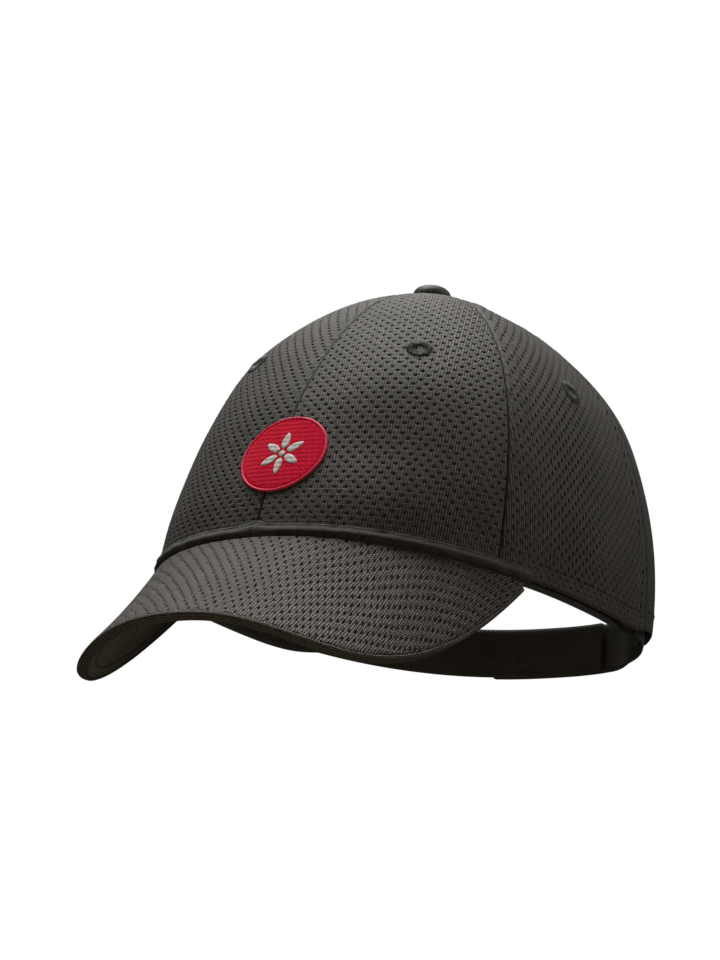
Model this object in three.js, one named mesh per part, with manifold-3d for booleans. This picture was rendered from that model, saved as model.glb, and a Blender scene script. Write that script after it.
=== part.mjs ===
// A six-panel sports cap with a curved visor and a hook-and-loop strap at the back.
// Millimetres, +Z up, visor towards -Y, wearer's left towards +X.
// The origin is the middle of the head opening, level with the rims at the wearer's temples.
//
// Every sewn layer of the crown is a slab of one surface, crownPoint(angle, rise, depth):
// angle goes round the crown from the visor's middle (0) through the wearer's left (90 degrees),
// rise goes from the rim (0) to the apex (1), and depth is how far in from the outer fabric.

import * as THREE from 'three';
import { mergeVertices } from 'three/addons/utils/BufferGeometryUtils.js';
import Module from 'manifold-3d';

const wasm = await Module();
wasm.setup();

const DEGREE = Math.PI / 180;

// Crown, outside of the fabric
const HALF_WIDTH = 84.4;
const FRONT_REACH = 98;
const BACK_REACH = 102.4;
const CROWN_HEIGHT = 125.6;
const APEX_Y = -4.2;
const PLAN_POWER = 2.375;
const SPREAD_POWER = { front: 2.19, side: 2.02, back: 2.36 };
const HEIGHT_POWER = { front: 1.98, side: 2.32, back: 2.25 };
const FRONT_LEAN = 0.143;
const BACK_LIFT = 7;
const BACK_LIFT_START = 106 * DEGREE;
const BACK_LIFT_END = 132 * DEGREE;

// Seams between the panels
const FRONT_SIDE_SEAM = 61.2 * DEGREE;
const SIDE_BACK_SEAM = 118 * DEGREE;

// Visor
const VISOR_END = 70.1 * DEGREE;
const VISOR_SPAN = 0.985;
const VISOR_SEAM_RISE = 5.1;
const VISOR_SEAM_POWER = 1.73;
const VISOR_REACH = 39;
const VISOR_SIDE_POWER = 2.64;
const VISOR_FRONT_POWER = 2.2;
const VISOR_SIDE_BULGE = 2;
const VISOR_CORNER_BULGE = 1.2;
const VISOR_SLOPE = 0.963;
const VISOR_ARCH_DEPTH = 62.6;
const VISOR_ARCH_HALF_WIDTH = 80;
const VISOR_ARCH_POWER = 2.386;

// Fabric layers, as depths from the outside in; neighbours keep at least 0.3 mm between facets
const GAP = 0.3;
const PANEL_LAYER = [0, 1];
const BUCKRAM_LAYER = [1.5, 2.1];
const FRONT_TAPE_LAYER = [2.6, 3.2];
const BACK_TAPE_LAYER = [1.5, 2.1];
const ARCH_TAPE_LAYER = [1.5, 2.1];
const STRAP_LAYER = [2.7, 3.6];
const SWEATBAND_LAYER = [4.1, 5.5];
const LABEL_LAYER = [6, 6.4];
const SEAM_ROLL_LAYER = [-1.5, -GAP];
const EMBLEM_FIELD_LAYER = [-1, -GAP];
const EMBLEM_BORDER_LAYER = [-1.3, -GAP];
const VISOR_TOP_LAYER = [0, 0.9];
const VISOR_BOARD_LAYER = [1.2, 2.8];
const VISOR_UNDER_LAYER = [3.1, 4];

// Panels and their reinforcement
const SEAM_GAP = 0.2;
const APEX_HOLE_RADIUS = 2.6;
const RIM_CLEARANCE = 0.9;
const BUCKRAM_TOP = 0.9;
const TAPE_HALF_WIDTH = 8;
const TAPE_APEX_RADIUS = 5;
const TAPE_MITRE = 27 * DEGREE;
const SWEATBAND_HEIGHT = 33;
const SWEATBAND_DROP = 1;
const SWEATBAND_END = 140 * DEGREE;

// Arched opening over the strap, measured from the lifted rim at the back
const ARCH_HALF_WIDTH = 56;
const ARCH_HEIGHT = 50;
const ARCH_POWER = 2.4;
const ARCH_TAPE_WIDTH = 11;

// Straps: angles are on the wearer's left, and the loop strap mirrors them
const STRAP_BOTTOM = 2;
const STRAP_TOP = 22;
const ANCHOR_START = 117 * DEGREE;
const STRAP_HINGE = 143 * DEGREE;
const HINGE_GAP = 0.086 * DEGREE;
const HOOK_STRAP_END = 198 * DEGREE;
const LOOP_STRAP_END = 199.5 * DEGREE;
const HOOK_CROSSING_START = 145 * DEGREE;
const HOOK_CROSSING_END = 158 * DEGREE;
const HOOK_STRAP_OUTSIDE = -0.4;
const PATCH_START = 162.5 * DEGREE;
const PATCH_END = 196.5 * DEGREE;
const PATCH_INSET = 1.5;
const HOOK_PATCH_LAYER = [0.9, 1.3];
const LOOP_PATCH_LAYER = [1.7, 2.2];

// Button, eyelets and emblem
const BUTTON_RADIUS = 7.6;
const BUTTON_HEIGHT = 6;
const BUTTON_SKIN = 0.8;
const BUTTON_SIDES = 18;
const RIVET_RADIUS = 1.3;
const RIVET_DEPTH = 6;
const WASHER_RADIUS = 7;
const WASHER_LIFT = 1.4;
const EYELET_RADIUS = 5;
const EYELET_BARREL_RADIUS = 1.9;
const EYELET_HOLE_RADIUS = 1.4;
const EYELET_SEAT_RADIUS = 2.3;
const EYELET_SIDES = 14;
const DRILL_DEPTH = 10;
const EYELET_PLACES = { front: [33.5, 0.468], side: [91.5, 0.44], back: [149, 0.45] };
const EMBLEM_X = 2.5;
const EMBLEM_Z = 39;
const EMBLEM_HALF_WIDTH = 18.5;
const EMBLEM_HALF_HEIGHT = 16.6;
const EMBLEM_FIELD_SHARE = 0.86;

const COLOURS = {
  mesh: [0x35322d, 0.85], lining: [0x2b2926, 0.9], tape: [0x24221f, 0.9], board: [0x3c3a36, 0.6],
  binding: [0x2a2622, 0.8], metal: [0x9a9a9a, 0.35], emblem: [0xa81228, 0.8], border: [0xc8203a, 0.6],
  label: [0xe6e3da, 0.9], hook: [0x1f1e1c, 0.95],
};

const cap = new THREE.Group();

function add(name, colour, geometry) {
  const [color, roughness] = COLOURS[colour];
  const metalness = colour === 'metal' ? 0.9 : 0;
  const mesh = new THREE.Mesh(geometry, new THREE.MeshStandardMaterial({ color, roughness, metalness }));
  mesh.name = name;
  cap.add(mesh);
  return mesh;
}

// ---------- Surfaces ----------

const smooth = (value, start, end) => THREE.MathUtils.smoothstep(value, start, end);

function powerAt(angle, { front, side, back }) {
  const along = Math.cos(angle);
  return side + ((along > 0 ? front : back) - side) * along ** 2;
}

function rimPlan(angle, depth) {
  const across = Math.sin(angle);
  const along = Math.cos(angle);
  const scale = (Math.abs(across) ** PLAN_POWER + Math.abs(along) ** PLAN_POWER) ** (-1 / PLAN_POWER);
  const reach = (along > 0 ? FRONT_REACH : BACK_REACH) - depth;
  return [(HALF_WIDTH - depth) * across * scale, -reach * along * scale];
}

// The rim rises a little over the visor, and again towards the back.
function rimHeight(angle) {
  const turn = Math.abs(Math.atan2(Math.sin(angle), Math.cos(angle)));
  if (turn > VISOR_END) return BACK_LIFT * smooth(turn, BACK_LIFT_START, BACK_LIFT_END);
  const across = rimPlan(turn, 0)[0] / rimPlan(VISOR_END, 0)[0];
  return VISOR_SEAM_RISE * (1 - across ** VISOR_SEAM_POWER);
}

function crownPoint(angle, rise, depth) {
  const [rimX, rimY] = rimPlan(angle, depth);
  const rimZ = rimHeight(angle);
  const turn = rise * Math.PI / 2;
  const spread = Math.cos(turn) ** (2 / powerAt(angle, SPREAD_POWER));
  const climb = Math.sin(turn) ** (2 / powerAt(angle, HEIGHT_POWER));
  const z = rimZ + (CROWN_HEIGHT - depth - rimZ) * climb;
  const lean = FRONT_LEAN * Math.max(Math.cos(angle), 0) * z * spread;
  return new THREE.Vector3(rimX * spread, APEX_Y + (rimY - APEX_Y) * spread + lean, z);
}

// The rise at which the outer fabric reaches a height.
function riseAt(angle, height) {
  const rimZ = rimHeight(angle);
  const share = Math.max(0, (height - rimZ) / (CROWN_HEIGHT - rimZ));
  return Math.asin(share ** (powerAt(angle, HEIGHT_POWER) / 2)) / (Math.PI / 2);
}

// The rise at which the outer fabric is a given distance from the crown's axis.
function riseNearApex(angle, radius) {
  let low = 0.5;
  let high = 1;
  for (let step = 0; step < 40; step += 1) {
    const middle = (low + high) / 2;
    const point = crownPoint(angle, middle, 0);
    if (Math.hypot(point.x, point.y - APEX_Y) > radius) low = middle;
    else high = middle;
  }
  return high;
}

// The angle, near a guess, at which the outer fabric has a given x at a given height.
function angleAt(x, height, guess) {
  let angle = guess;
  const step = 1e-4;
  for (let round = 0; round < 20; round += 1) {
    const here = crownPoint(angle, riseAt(angle, height), 0).x;
    const next = crownPoint(angle + step, riseAt(angle + step, height), 0).x;
    angle -= (here - x) / ((next - here) / step);
  }
  return angle;
}

// A point at a height on a layer; below the rim the layer hangs straight down.
function layerPoint(angle, height, depth) {
  const point = crownPoint(angle, riseAt(angle, height), depth);
  if (height < rimHeight(angle)) point.z = height;
  return point;
}

// Height of the visor's free edge over a point in plan: the edge of a sloping, arched sheet.
function visorEdgeHeight(x, y) {
  const [endX, endY] = rimPlan(VISOR_END, 0);
  const sag = (t) => VISOR_ARCH_DEPTH * (Math.abs(t) / VISOR_ARCH_HALF_WIDTH) ** VISOR_ARCH_POWER;
  return VISOR_SLOPE * (y - endY) + sag(endX) - sag(x);
}

// The visor's upper surface is ruled from the crown's rim to the free edge: across is -1 to 1,
// out is 0 at the crown and 1 at the edge.
function visorSurface(across, out) {
  const [seamX, seamY] = rimPlan(across * VISOR_END, 0);
  const [endX, endY] = rimPlan(VISOR_END, 0);
  const forward = FRONT_REACH + VISOR_REACH + endY;
  const turn = across * Math.PI / 2;
  const bulge = Math.sin(Math.PI * across) ** 2;
  const side = Math.sign(across) * Math.abs(Math.sin(turn)) ** (2 / VISOR_SIDE_POWER);
  const edgeX = endX * side + Math.sign(across) * VISOR_SIDE_BULGE * bulge;
  const edgeY = endY - forward * Math.cos(turn) ** (2 / VISOR_FRONT_POWER) - VISOR_CORNER_BULGE * bulge;
  const seam = new THREE.Vector3(seamX, seamY, rimHeight(across * VISOR_END));
  return seam.lerp(new THREE.Vector3(edgeX, edgeY, visorEdgeHeight(edgeX, edgeY)), out);
}

function visorNormal(across, out) {
  const step = 1e-3;
  const round = visorSurface(across + step, out).sub(visorSurface(across - step, out));
  const forward = visorSurface(across, out + step).sub(visorSurface(across, out - step));
  return forward.cross(round).normalize();
}

const visorPoint = (across, out, depth) =>
  visorSurface(across, out).addScaledVector(visorNormal(across, out), -depth);

// ---------- Solids ----------

// One closed body from points and triangles, with coincident points merged and faces turned out.
function closedBody(points, triangles) {
  const loose = new THREE.BufferGeometry().setFromPoints(points);
  loose.setIndex(triangles.flat());
  const geometry = mergeVertices(loose, 1e-3);
  const index = geometry.index.array;
  const position = geometry.attributes.position;
  const kept = [];
  let volume = 0;
  for (let t = 0; t < index.length; t += 3) {
    const corners = [index[t], index[t + 1], index[t + 2]];
    if (new Set(corners).size < 3) continue;
    kept.push(corners);
    const [a, b, c] = corners.map((i) => new THREE.Vector3().fromBufferAttribute(position, i));
    volume += a.dot(b.cross(c));
  }
  geometry.setIndex((volume < 0 ? kept.map(([a, b, c]) => [a, c, b]) : kept).flat());
  return geometry;
}

// The slab between two sheets of points. at(i, j, side) gives a point of the outer (0) or inner (1)
// sheet; a closed slab joins its last column to its first.
function slab(columns, rows, at, closed = false) {
  const points = [];
  for (const side of [0, 1]) {
    for (let i = 0; i < columns; i += 1) {
      for (let j = 0; j < rows; j += 1) points.push(at(i, j, side));
    }
  }
  const id = (i, j, side) => (side * columns + (i % columns)) * rows + j;
  const triangles = [];
  const quad = (a, b, c, d) => triangles.push([a, b, c], [a, c, d]);
  const spans = closed ? columns : columns - 1;
  for (let i = 0; i < spans; i += 1) {
    for (let j = 0; j < rows - 1; j += 1) {
      quad(id(i, j, 0), id(i + 1, j, 0), id(i + 1, j + 1, 0), id(i, j + 1, 0));
      quad(id(i, j, 1), id(i, j + 1, 1), id(i + 1, j + 1, 1), id(i + 1, j, 1));
    }
    quad(id(i, 0, 1), id(i + 1, 0, 1), id(i + 1, 0, 0), id(i, 0, 0));
    quad(id(i, rows - 1, 0), id(i + 1, rows - 1, 0), id(i + 1, rows - 1, 1), id(i, rows - 1, 1));
  }
  for (let j = 0; j < rows - 1 && !closed; j += 1) {
    quad(id(0, j, 0), id(0, j + 1, 0), id(0, j + 1, 1), id(0, j, 1));
    quad(id(spans, j, 1), id(spans, j + 1, 1), id(spans, j + 1, 0), id(spans, j, 0));
  }
  return closedBody(points, triangles);
}

const mix = THREE.MathUtils.lerp;
const share = (i, count) => i / (count - 1);

function toSolid(geometry) {
  const merged = reshaped(geometry, (point) => point);
  return new wasm.Manifold(new wasm.Mesh({
    numProp: 3,
    vertProperties: new Float32Array(merged.attributes.position.array),
    triVerts: new Uint32Array(merged.index.array),
  }));
}

function subtract(geometry, cutter) {
  const mesh = toSolid(geometry).subtract(toSolid(cutter)).getMesh();
  const result = new THREE.BufferGeometry();
  result.setAttribute('position', new THREE.BufferAttribute(mesh.vertProperties, 3));
  result.setIndex(new THREE.BufferAttribute(mesh.triVerts, 1));
  return result;
}

// A closed body again after a change to each of a geometry's points.
function reshaped(geometry, change) {
  const position = geometry.attributes.position;
  const points = Array.from({ length: position.count }, (_, i) =>
    change(new THREE.Vector3().fromBufferAttribute(position, i)));
  const triangles = Array.from({ length: geometry.index.count / 3 }, (_, t) =>
    [0, 1, 2].map((corner) => geometry.index.array[3 * t + corner]));
  return closedBody(points, triangles);
}

const mirrored = (geometry) => reshaped(geometry, (point) => point.setX(-point.x));

// A turned piece about +Z: its profile is [radius, height] pairs.
function turned(profile, segments) {
  const lathe = new THREE.LatheGeometry(profile.map(([r, h]) => new THREE.Vector2(r, h)), segments);
  return reshaped(lathe, (point) => point.set(point.x, -point.z, point.y));
}

// Where a piece sits square on the crown: a matrix whose +Z is the outward normal.
function seatOn(angle, rise) {
  const step = 1e-3;
  const origin = crownPoint(angle, rise, 0);
  const round = crownPoint(angle + step, rise, 0).sub(crownPoint(angle - step, rise, 0)).normalize();
  const up = crownPoint(angle, rise + step, 0).sub(crownPoint(angle, rise - step, 0)).normalize();
  const out = round.clone().cross(up).normalize();
  return new THREE.Matrix4().makeBasis(round, out.clone().cross(round), out).setPosition(origin);
}

// ---------- Crown panels ----------

const PANEL_COLUMNS = 9;
const PANEL_ROWS = 14;
const ARCH_COLUMNS = 9;

// Angles that keep a panel's edge clear of the seam at every height.
function edgeAngle(seam, direction, rise) {
  const point = crownPoint(seam, rise, 0);
  return seam + direction * SEAM_GAP / Math.hypot(point.x, point.y - APEX_Y);
}

// A slab between two seams, each column starting at its own rise. Columns hold the angle's share
// of the way from the first seam to the second, and the rise at which the column starts.
function gore(first, second, columns, rows, [outer, inner], top) {
  return slab(columns.length, rows, (i, j, side) => {
    const { across, start } = columns[i];
    const rise = mix(start, top, share(j, rows));
    const angle = mix(edgeAngle(first, 1, rise), edgeAngle(second, -1, rise), across);
    return crownPoint(angle, rise, side ? inner : outer);
  });
}

function plainColumns(first, second, count, clearance) {
  return Array.from({ length: count }, (_, i) => {
    const across = share(i, count);
    const angle = mix(first, second, across);
    return { across, start: riseAt(angle, rimHeight(angle) + clearance) };
  });
}

// The arched opening's edge, a given distance outside it: x and height for a turn from 0 to pi.
function archEdge(turn, out) {
  const across = Math.cos(turn);
  const power = 2 / ARCH_POWER;
  const x = (ARCH_HALF_WIDTH + out) * Math.sign(across) * Math.abs(across) ** power;
  return [x, BACK_LIFT + (ARCH_HEIGHT + out) * Math.abs(Math.sin(turn)) ** power];
}

// The back panel's lower edge climbs over the arched opening.
function archColumns(first, second) {
  const archStart = angleAt(ARCH_HALF_WIDTH, BACK_LIFT, 140 * DEGREE);
  const shareOf = (angle) => (angle - first) / (second - first);
  const columns = plainColumns(first, second, PANEL_COLUMNS, 0).filter(({ across }) =>
    across < shareOf(archStart) - 0.04);
  for (let i = 0; i < ARCH_COLUMNS; i += 1) {
    const [x, height] = archEdge(share(i, ARCH_COLUMNS) * Math.PI / 2, 0);
    const guess = mix(archStart, second, share(i, ARCH_COLUMNS));
    const angle = x < SEAM_GAP ? second : angleAt(x, height, guess);
    columns.push({ across: Math.min(1, shareOf(angle)), start: riseAt(angle, height) });
  }
  return columns;
}

const apexRise = (angle) => riseNearApex(angle, APEX_HOLE_RADIUS);

// The wearer's left and right pieces are mirror images.
function addPair(name, colour, geometry) {
  add(`${name}_left`, colour, geometry);
  add(`${name}_right`, colour, mirrored(geometry));
}

function eyeletSeat(place) {
  const [degrees, rise] = EYELET_PLACES[place];
  return seatOn(degrees * DEGREE, rise);
}

function pierce(geometry, place) {
  const drill = new THREE.CylinderGeometry(EYELET_SEAT_RADIUS, EYELET_SEAT_RADIUS, DRILL_DEPTH, EYELET_SIDES);
  return subtract(geometry, drill.rotateX(Math.PI / 2).applyMatrix4(eyeletSeat(place)));
}

function addPanels() {
  const seams = {
    front: [0, FRONT_SIDE_SEAM],
    side: [FRONT_SIDE_SEAM, SIDE_BACK_SEAM],
    back: [SIDE_BACK_SEAM, Math.PI],
  };
  for (const [place, [first, second]] of Object.entries(seams)) {
    const columns = place === 'back'
      ? archColumns(first, second)
      : plainColumns(first, second, PANEL_COLUMNS, RIM_CLEARANCE);
    const top = apexRise((first + second) / 2);
    const panel = gore(first, second, columns, PANEL_ROWS, PANEL_LAYER, top);
    addPair(`${place}_panel`, 'mesh', pierce(panel, place));
  }
}

function addBuckram() {
  const columns = plainColumns(0, FRONT_SIDE_SEAM, PANEL_COLUMNS, RIM_CLEARANCE);
  const sheet = gore(0, FRONT_SIDE_SEAM, columns, PANEL_ROWS, BUCKRAM_LAYER, BUCKRAM_TOP);
  addPair('front_buckram', 'lining', pierce(sheet, 'front'));
}

// ---------- Tapes and sweatband ----------

// A tape straddles a seam, and narrows near the apex so that neighbours meet side by side.
function seamTape(seam, start, [outer, inner]) {
  const rows = 14;
  const top = riseNearApex(seam, TAPE_APEX_RADIUS);
  return slab(3, rows, (i, j, side) => {
    const rise = mix(start, top, share(j, rows));
    const point = crownPoint(seam, rise, inner);
    const radius = Math.hypot(point.x, point.y - APEX_Y);
    const half = Math.min(TAPE_HALF_WIDTH, radius * Math.tan(TAPE_MITRE));
    return crownPoint(seam + (i - 1) * half / radius, rise, side ? inner : outer);
  });
}

function addTapes() {
  const start = (angle, lift) => riseAt(angle, rimHeight(angle) + lift);
  add('seam_tape_front', 'tape', seamTape(0, start(0, 1), FRONT_TAPE_LAYER));
  const frontSide = start(FRONT_SIDE_SEAM, 1);
  addPair('seam_tape_front_side', 'tape', seamTape(FRONT_SIDE_SEAM, frontSide, FRONT_TAPE_LAYER));
  addPair('seam_tape_side_back', 'tape', seamTape(SIDE_BACK_SEAM, start(SIDE_BACK_SEAM, 1), BACK_TAPE_LAYER));
  const overArch = riseAt(Math.PI, BACK_LIFT + ARCH_HEIGHT + ARCH_TAPE_WIDTH + 1);
  add('seam_tape_back', 'tape', seamTape(Math.PI, overArch, BACK_TAPE_LAYER));
}

function addArchTape() {
  const columns = 27;
  const [outer, inner] = ARCH_TAPE_LAYER;
  add('arch_opening_tape', 'tape', slab(columns, 3, (i, j, side) => {
    const [x, height] = archEdge(share(i, columns) * Math.PI, mix(SEAM_GAP, ARCH_TAPE_WIDTH, j / 2));
    const angle = angleAt(x, height, mix(140 * DEGREE, 220 * DEGREE, share(i, columns)));
    return crownPoint(angle, riseAt(angle, height), side ? inner : outer);
  }));
}

function addSweatband() {
  const columns = 57;
  const [outer, inner] = SWEATBAND_LAYER;
  add('sweatband', 'lining', slab(columns, 3, (i, j, side) => {
    const angle = mix(-SWEATBAND_END, SWEATBAND_END, share(i, columns));
    const height = rimHeight(angle) - SWEATBAND_DROP + SWEATBAND_HEIGHT * j / 2;
    return layerPoint(angle, height, side ? inner : outer);
  }));
}

function addLabel() {
  const [outer, inner] = LABEL_LAYER;
  add('care_label', 'label', slab(6, 3, (i, j, side) => {
    const angle = mix(121, 133, i / 5) * DEGREE;
    return layerPoint(angle, rimHeight(angle) + mix(4, 26, j / 2), side ? inner : outer);
  }));
}

// ---------- Visor ----------

function visorSlab([outer, inner], endShare) {
  const columns = 23;
  const rows = 6;
  return slab(columns, rows, (i, j, side) => {
    const across = mix(-VISOR_SPAN, VISOR_SPAN, share(i, columns));
    return visorPoint(across, endShare * share(j, rows), side ? inner : outer);
  });
}

// A bead that follows a curve: frame(t) gives its centre and the two directions of its section.
function bead(steps, section, frame) {
  return slab(steps, 2, (i, j, side) => {
    const { centre, out, up } = frame(share(i, steps));
    const [a, b] = section[side === 0 ? j : 3 - j];
    return centre.clone().addScaledVector(out, a).addScaledVector(up, b);
  });
}

function addVisor() {
  add('visor_top_cover', 'mesh', visorSlab(VISOR_TOP_LAYER, 1));
  add('visor_board', 'board', visorSlab(VISOR_BOARD_LAYER, 1));
  add('visor_under_cover', 'mesh', visorSlab(VISOR_UNDER_LAYER, 1));
  const reach = 1;
  const depth = VISOR_UNDER_LAYER[1];
  const start = GAP;
  const section = [[start, 0], [start + reach, -0.6], [start + reach, 0.6 - depth], [start, -depth]];
  add('visor_edge_binding', 'binding', bead(45, section, (t) => {
    const across = mix(-VISOR_SPAN, VISOR_SPAN, t);
    const step = 1e-3;
    const along = visorSurface(across + step, 1).sub(visorSurface(across - step, 1)).normalize();
    const up = visorNormal(across, 1);
    return { centre: visorSurface(across, 1), out: along.cross(up).normalize(), up };
  }));
}

function addSeamRoll() {
  const columns = 33;
  const height = 4;
  const [outer, inner] = SEAM_ROLL_LAYER;
  add('visor_seam_roll', 'mesh', slab(columns, 3, (i, j, side) => {
    const angle = mix(-VISOR_END, VISOR_END, share(i, columns));
    const rounding = side === 0 && j !== 1 ? 0.6 : 0;
    const up = rimHeight(angle) + RIM_CLEARANCE + height * j / 2;
    return layerPoint(angle, up, (side ? inner : outer) + rounding);
  }));
}

// ---------- Back straps ----------

const STRAP_ROWS = 3;

function strapSlab(first, last, columns, depths, inset = 0) {
  return slab(columns, STRAP_ROWS, (i, j, side) => {
    const angle = mix(first, last, share(i, columns));
    const height = mix(STRAP_BOTTOM + inset, STRAP_TOP - inset, share(j, STRAP_ROWS));
    return layerPoint(angle, height, depths(angle)[side]);
  });
}

const level = (layer) => () => layer;

// The hook strap leaves the panel's inside and crosses to the outside of the loop strap.
function hookDepths(angle) {
  const outside = smooth(angle, HOOK_CROSSING_START, HOOK_CROSSING_END);
  const outer = mix(STRAP_LAYER[0], HOOK_STRAP_OUTSIDE, outside);
  return [outer, outer + STRAP_LAYER[1] - STRAP_LAYER[0]];
}

function addStraps() {
  const anchor = strapSlab(ANCHOR_START, STRAP_HINGE - HINGE_GAP, 7, level(STRAP_LAYER));
  add('hook_strap_sewn_end', 'lining', anchor);
  add('loop_strap_sewn_end', 'lining', mirrored(anchor));
  add('hook_strap', 'lining', strapSlab(STRAP_HINGE + HINGE_GAP, HOOK_STRAP_END, 19, hookDepths));
  const loopStrap = strapSlab(STRAP_HINGE + HINGE_GAP, LOOP_STRAP_END, 17, level(STRAP_LAYER));
  add('loop_strap', 'lining', mirrored(loopStrap));
  add('hook_patch', 'hook', strapSlab(PATCH_START, PATCH_END, 11, level(HOOK_PATCH_LAYER), PATCH_INSET));
  add('loop_patch', 'hook', strapSlab(PATCH_START, PATCH_END, 11, level(LOOP_PATCH_LAYER), PATCH_INSET));
}

// ---------- Button, eyelets, emblem ----------

function addButton() {
  const seat = CROWN_HEIGHT + GAP;
  const dome = (radius, height, base) => {
    const curve = new THREE.QuadraticBezierCurve(
      new THREE.Vector2(0, height), new THREE.Vector2(radius, height), new THREE.Vector2(radius, base));
    return curve.getPoints(5).map((point) => [point.x, point.y]);
  };
  const outer = dome(BUTTON_RADIUS, BUTTON_HEIGHT, 0);
  const inner = dome(BUTTON_RADIUS - BUTTON_SKIN, BUTTON_HEIGHT - BUTTON_SKIN, 0).reverse();
  const cover = add('button_cover', 'lining', turned([...outer, ...inner], BUTTON_SIDES));
  const shellRadius = BUTTON_RADIUS - BUTTON_SKIN - GAP;
  const shell = dome(shellRadius, BUTTON_HEIGHT - BUTTON_SKIN - GAP, 0.1);
  const rivet = [[RIVET_RADIUS, 0.1], [RIVET_RADIUS, -RIVET_DEPTH], [0, -RIVET_DEPTH]];
  const core = add('button_shell', 'metal', turned([...shell, ...rivet], BUTTON_SIDES));
  const washerTop = WASHER_LIFT - RIVET_DEPTH;
  const hole = RIVET_RADIUS + GAP;
  const washer = add('button_washer', 'metal', turned([
    [hole, washerTop], [WASHER_RADIUS, washerTop], [WASHER_RADIUS, washerTop - 0.8], [hole, washerTop - 0.8],
    [hole, washerTop]], BUTTON_SIDES));
  for (const piece of [cover, core, washer]) piece.position.set(0, APEX_Y, seat);
}

function addEyelets() {
  for (const place of Object.keys(EYELET_PLACES)) {
    const lip = 0.4;
    const ring = turned([
      [EYELET_HOLE_RADIUS, -1.5], [EYELET_BARREL_RADIUS, -1.5], [EYELET_BARREL_RADIUS, lip],
      [EYELET_RADIUS, lip],
      [EYELET_RADIUS - 0.5, 1], [EYELET_HOLE_RADIUS + 0.4, 1.1], [EYELET_HOLE_RADIUS, 0.7],
      [EYELET_HOLE_RADIUS, -1.5]], EYELET_SIDES);
    addPair(`eyelet_${place}`, 'binding', ring.applyMatrix4(eyeletSeat(place)));
  }
}

// The emblem's place on the front, for a turn and a share of the way to its edge.
function emblemPoint(turn, out, depth) {
  const x = EMBLEM_X + EMBLEM_HALF_WIDTH * out * Math.cos(turn);
  const climb = EMBLEM_HALF_HEIGHT * out * Math.sin(turn);
  const height = EMBLEM_Z + climb * (climb > 0 ? 0.94 : 0.97);
  const angle = angleAt(x, height, x / 90);
  return crownPoint(angle, riseAt(angle, height), depth);
}

function addEmblem() {
  const columns = 48;
  const piece = (first, last, rows, [outer, inner]) => slab(columns, rows, (i, j, side) =>
    emblemPoint(2 * Math.PI * i / columns, mix(first, last, share(j, rows)), side ? inner : outer), true);
  add('emblem_field', 'emblem', piece(0, EMBLEM_FIELD_SHARE, 3, EMBLEM_FIELD_LAYER));
  const border = EMBLEM_FIELD_SHARE + GAP / EMBLEM_HALF_HEIGHT;
  add('emblem_border', 'border', piece(border, 1, 2, EMBLEM_BORDER_LAYER));
}

addPanels();
addBuckram();
addTapes();
addArchTape();
addSweatband();
addLabel();
addVisor();
addSeamRoll();
addStraps();
addButton();
addEyelets();
addEmblem();

export default cap;
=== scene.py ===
"""Looks of the mesh chef's cap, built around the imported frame. Lengths are in millimetres until
they become meshes, in the part's frame: +Z up, visor towards -Y, wearer's left towards +X."""
import math

import bmesh
import bpy
import numpy as np
from mathutils import Matrix, Vector


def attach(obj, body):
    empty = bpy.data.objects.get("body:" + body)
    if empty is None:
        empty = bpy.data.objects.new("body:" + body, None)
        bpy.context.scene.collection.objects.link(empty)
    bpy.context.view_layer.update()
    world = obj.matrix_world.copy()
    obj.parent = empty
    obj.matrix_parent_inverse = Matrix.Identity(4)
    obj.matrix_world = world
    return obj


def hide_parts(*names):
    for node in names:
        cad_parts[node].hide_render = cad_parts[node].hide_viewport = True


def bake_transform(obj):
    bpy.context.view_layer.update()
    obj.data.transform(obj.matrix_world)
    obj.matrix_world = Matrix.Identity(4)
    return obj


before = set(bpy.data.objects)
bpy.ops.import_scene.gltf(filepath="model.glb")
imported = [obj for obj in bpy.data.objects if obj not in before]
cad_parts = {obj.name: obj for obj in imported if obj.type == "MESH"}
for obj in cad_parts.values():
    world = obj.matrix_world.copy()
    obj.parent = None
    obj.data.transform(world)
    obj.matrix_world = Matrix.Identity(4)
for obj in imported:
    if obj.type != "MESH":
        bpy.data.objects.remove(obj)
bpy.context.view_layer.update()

MM = 0.001
DEGREE = math.pi / 180

# ---------- The crown and visor surfaces, the same as the CAD's ----------

HALF_WIDTH, FRONT_REACH, BACK_REACH = 84.4, 98.0, 102.4
CROWN_HEIGHT, APEX_Y, PLAN_POWER = 125.6, -4.2, 2.375
SPREAD_POWER = (2.19, 2.02, 2.36)
HEIGHT_POWER = (1.98, 2.32, 2.25)
FRONT_LEAN = 0.143
BACK_LIFT, BACK_LIFT_START, BACK_LIFT_END = 7.0, 106 * DEGREE, 132 * DEGREE
FRONT_SIDE_SEAM, SIDE_BACK_SEAM = 61.2 * DEGREE, 118 * DEGREE
VISOR_END = 70.1 * DEGREE
VISOR_SEAM_RISE, VISOR_SEAM_POWER = 5.1, 1.73
VISOR_REACH, VISOR_SIDE_POWER, VISOR_FRONT_POWER = 39.0, 2.64, 2.2
VISOR_SIDE_BULGE, VISOR_CORNER_BULGE = 2.0, 1.2
VISOR_SLOPE, VISOR_ARCH_DEPTH, VISOR_ARCH_HALF_WIDTH, VISOR_ARCH_POWER = 0.963, 62.6, 80.0, 2.386
ARCH_HALF_WIDTH, ARCH_HEIGHT, ARCH_POWER, ARCH_TAPE_WIDTH = 56.0, 50.0, 2.4, 11.0
STRAP_BOTTOM, STRAP_TOP = 2.0, 22.0
ANCHOR_START, STRAP_HINGE = 117 * DEGREE, 143 * DEGREE
HOOK_STRAP_END, LOOP_STRAP_END = 198 * DEGREE, 199.5 * DEGREE
HOOK_CROSSING = (145 * DEGREE, 158 * DEGREE)
HOOK_STRAP_OUTSIDE = -0.4
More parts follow.
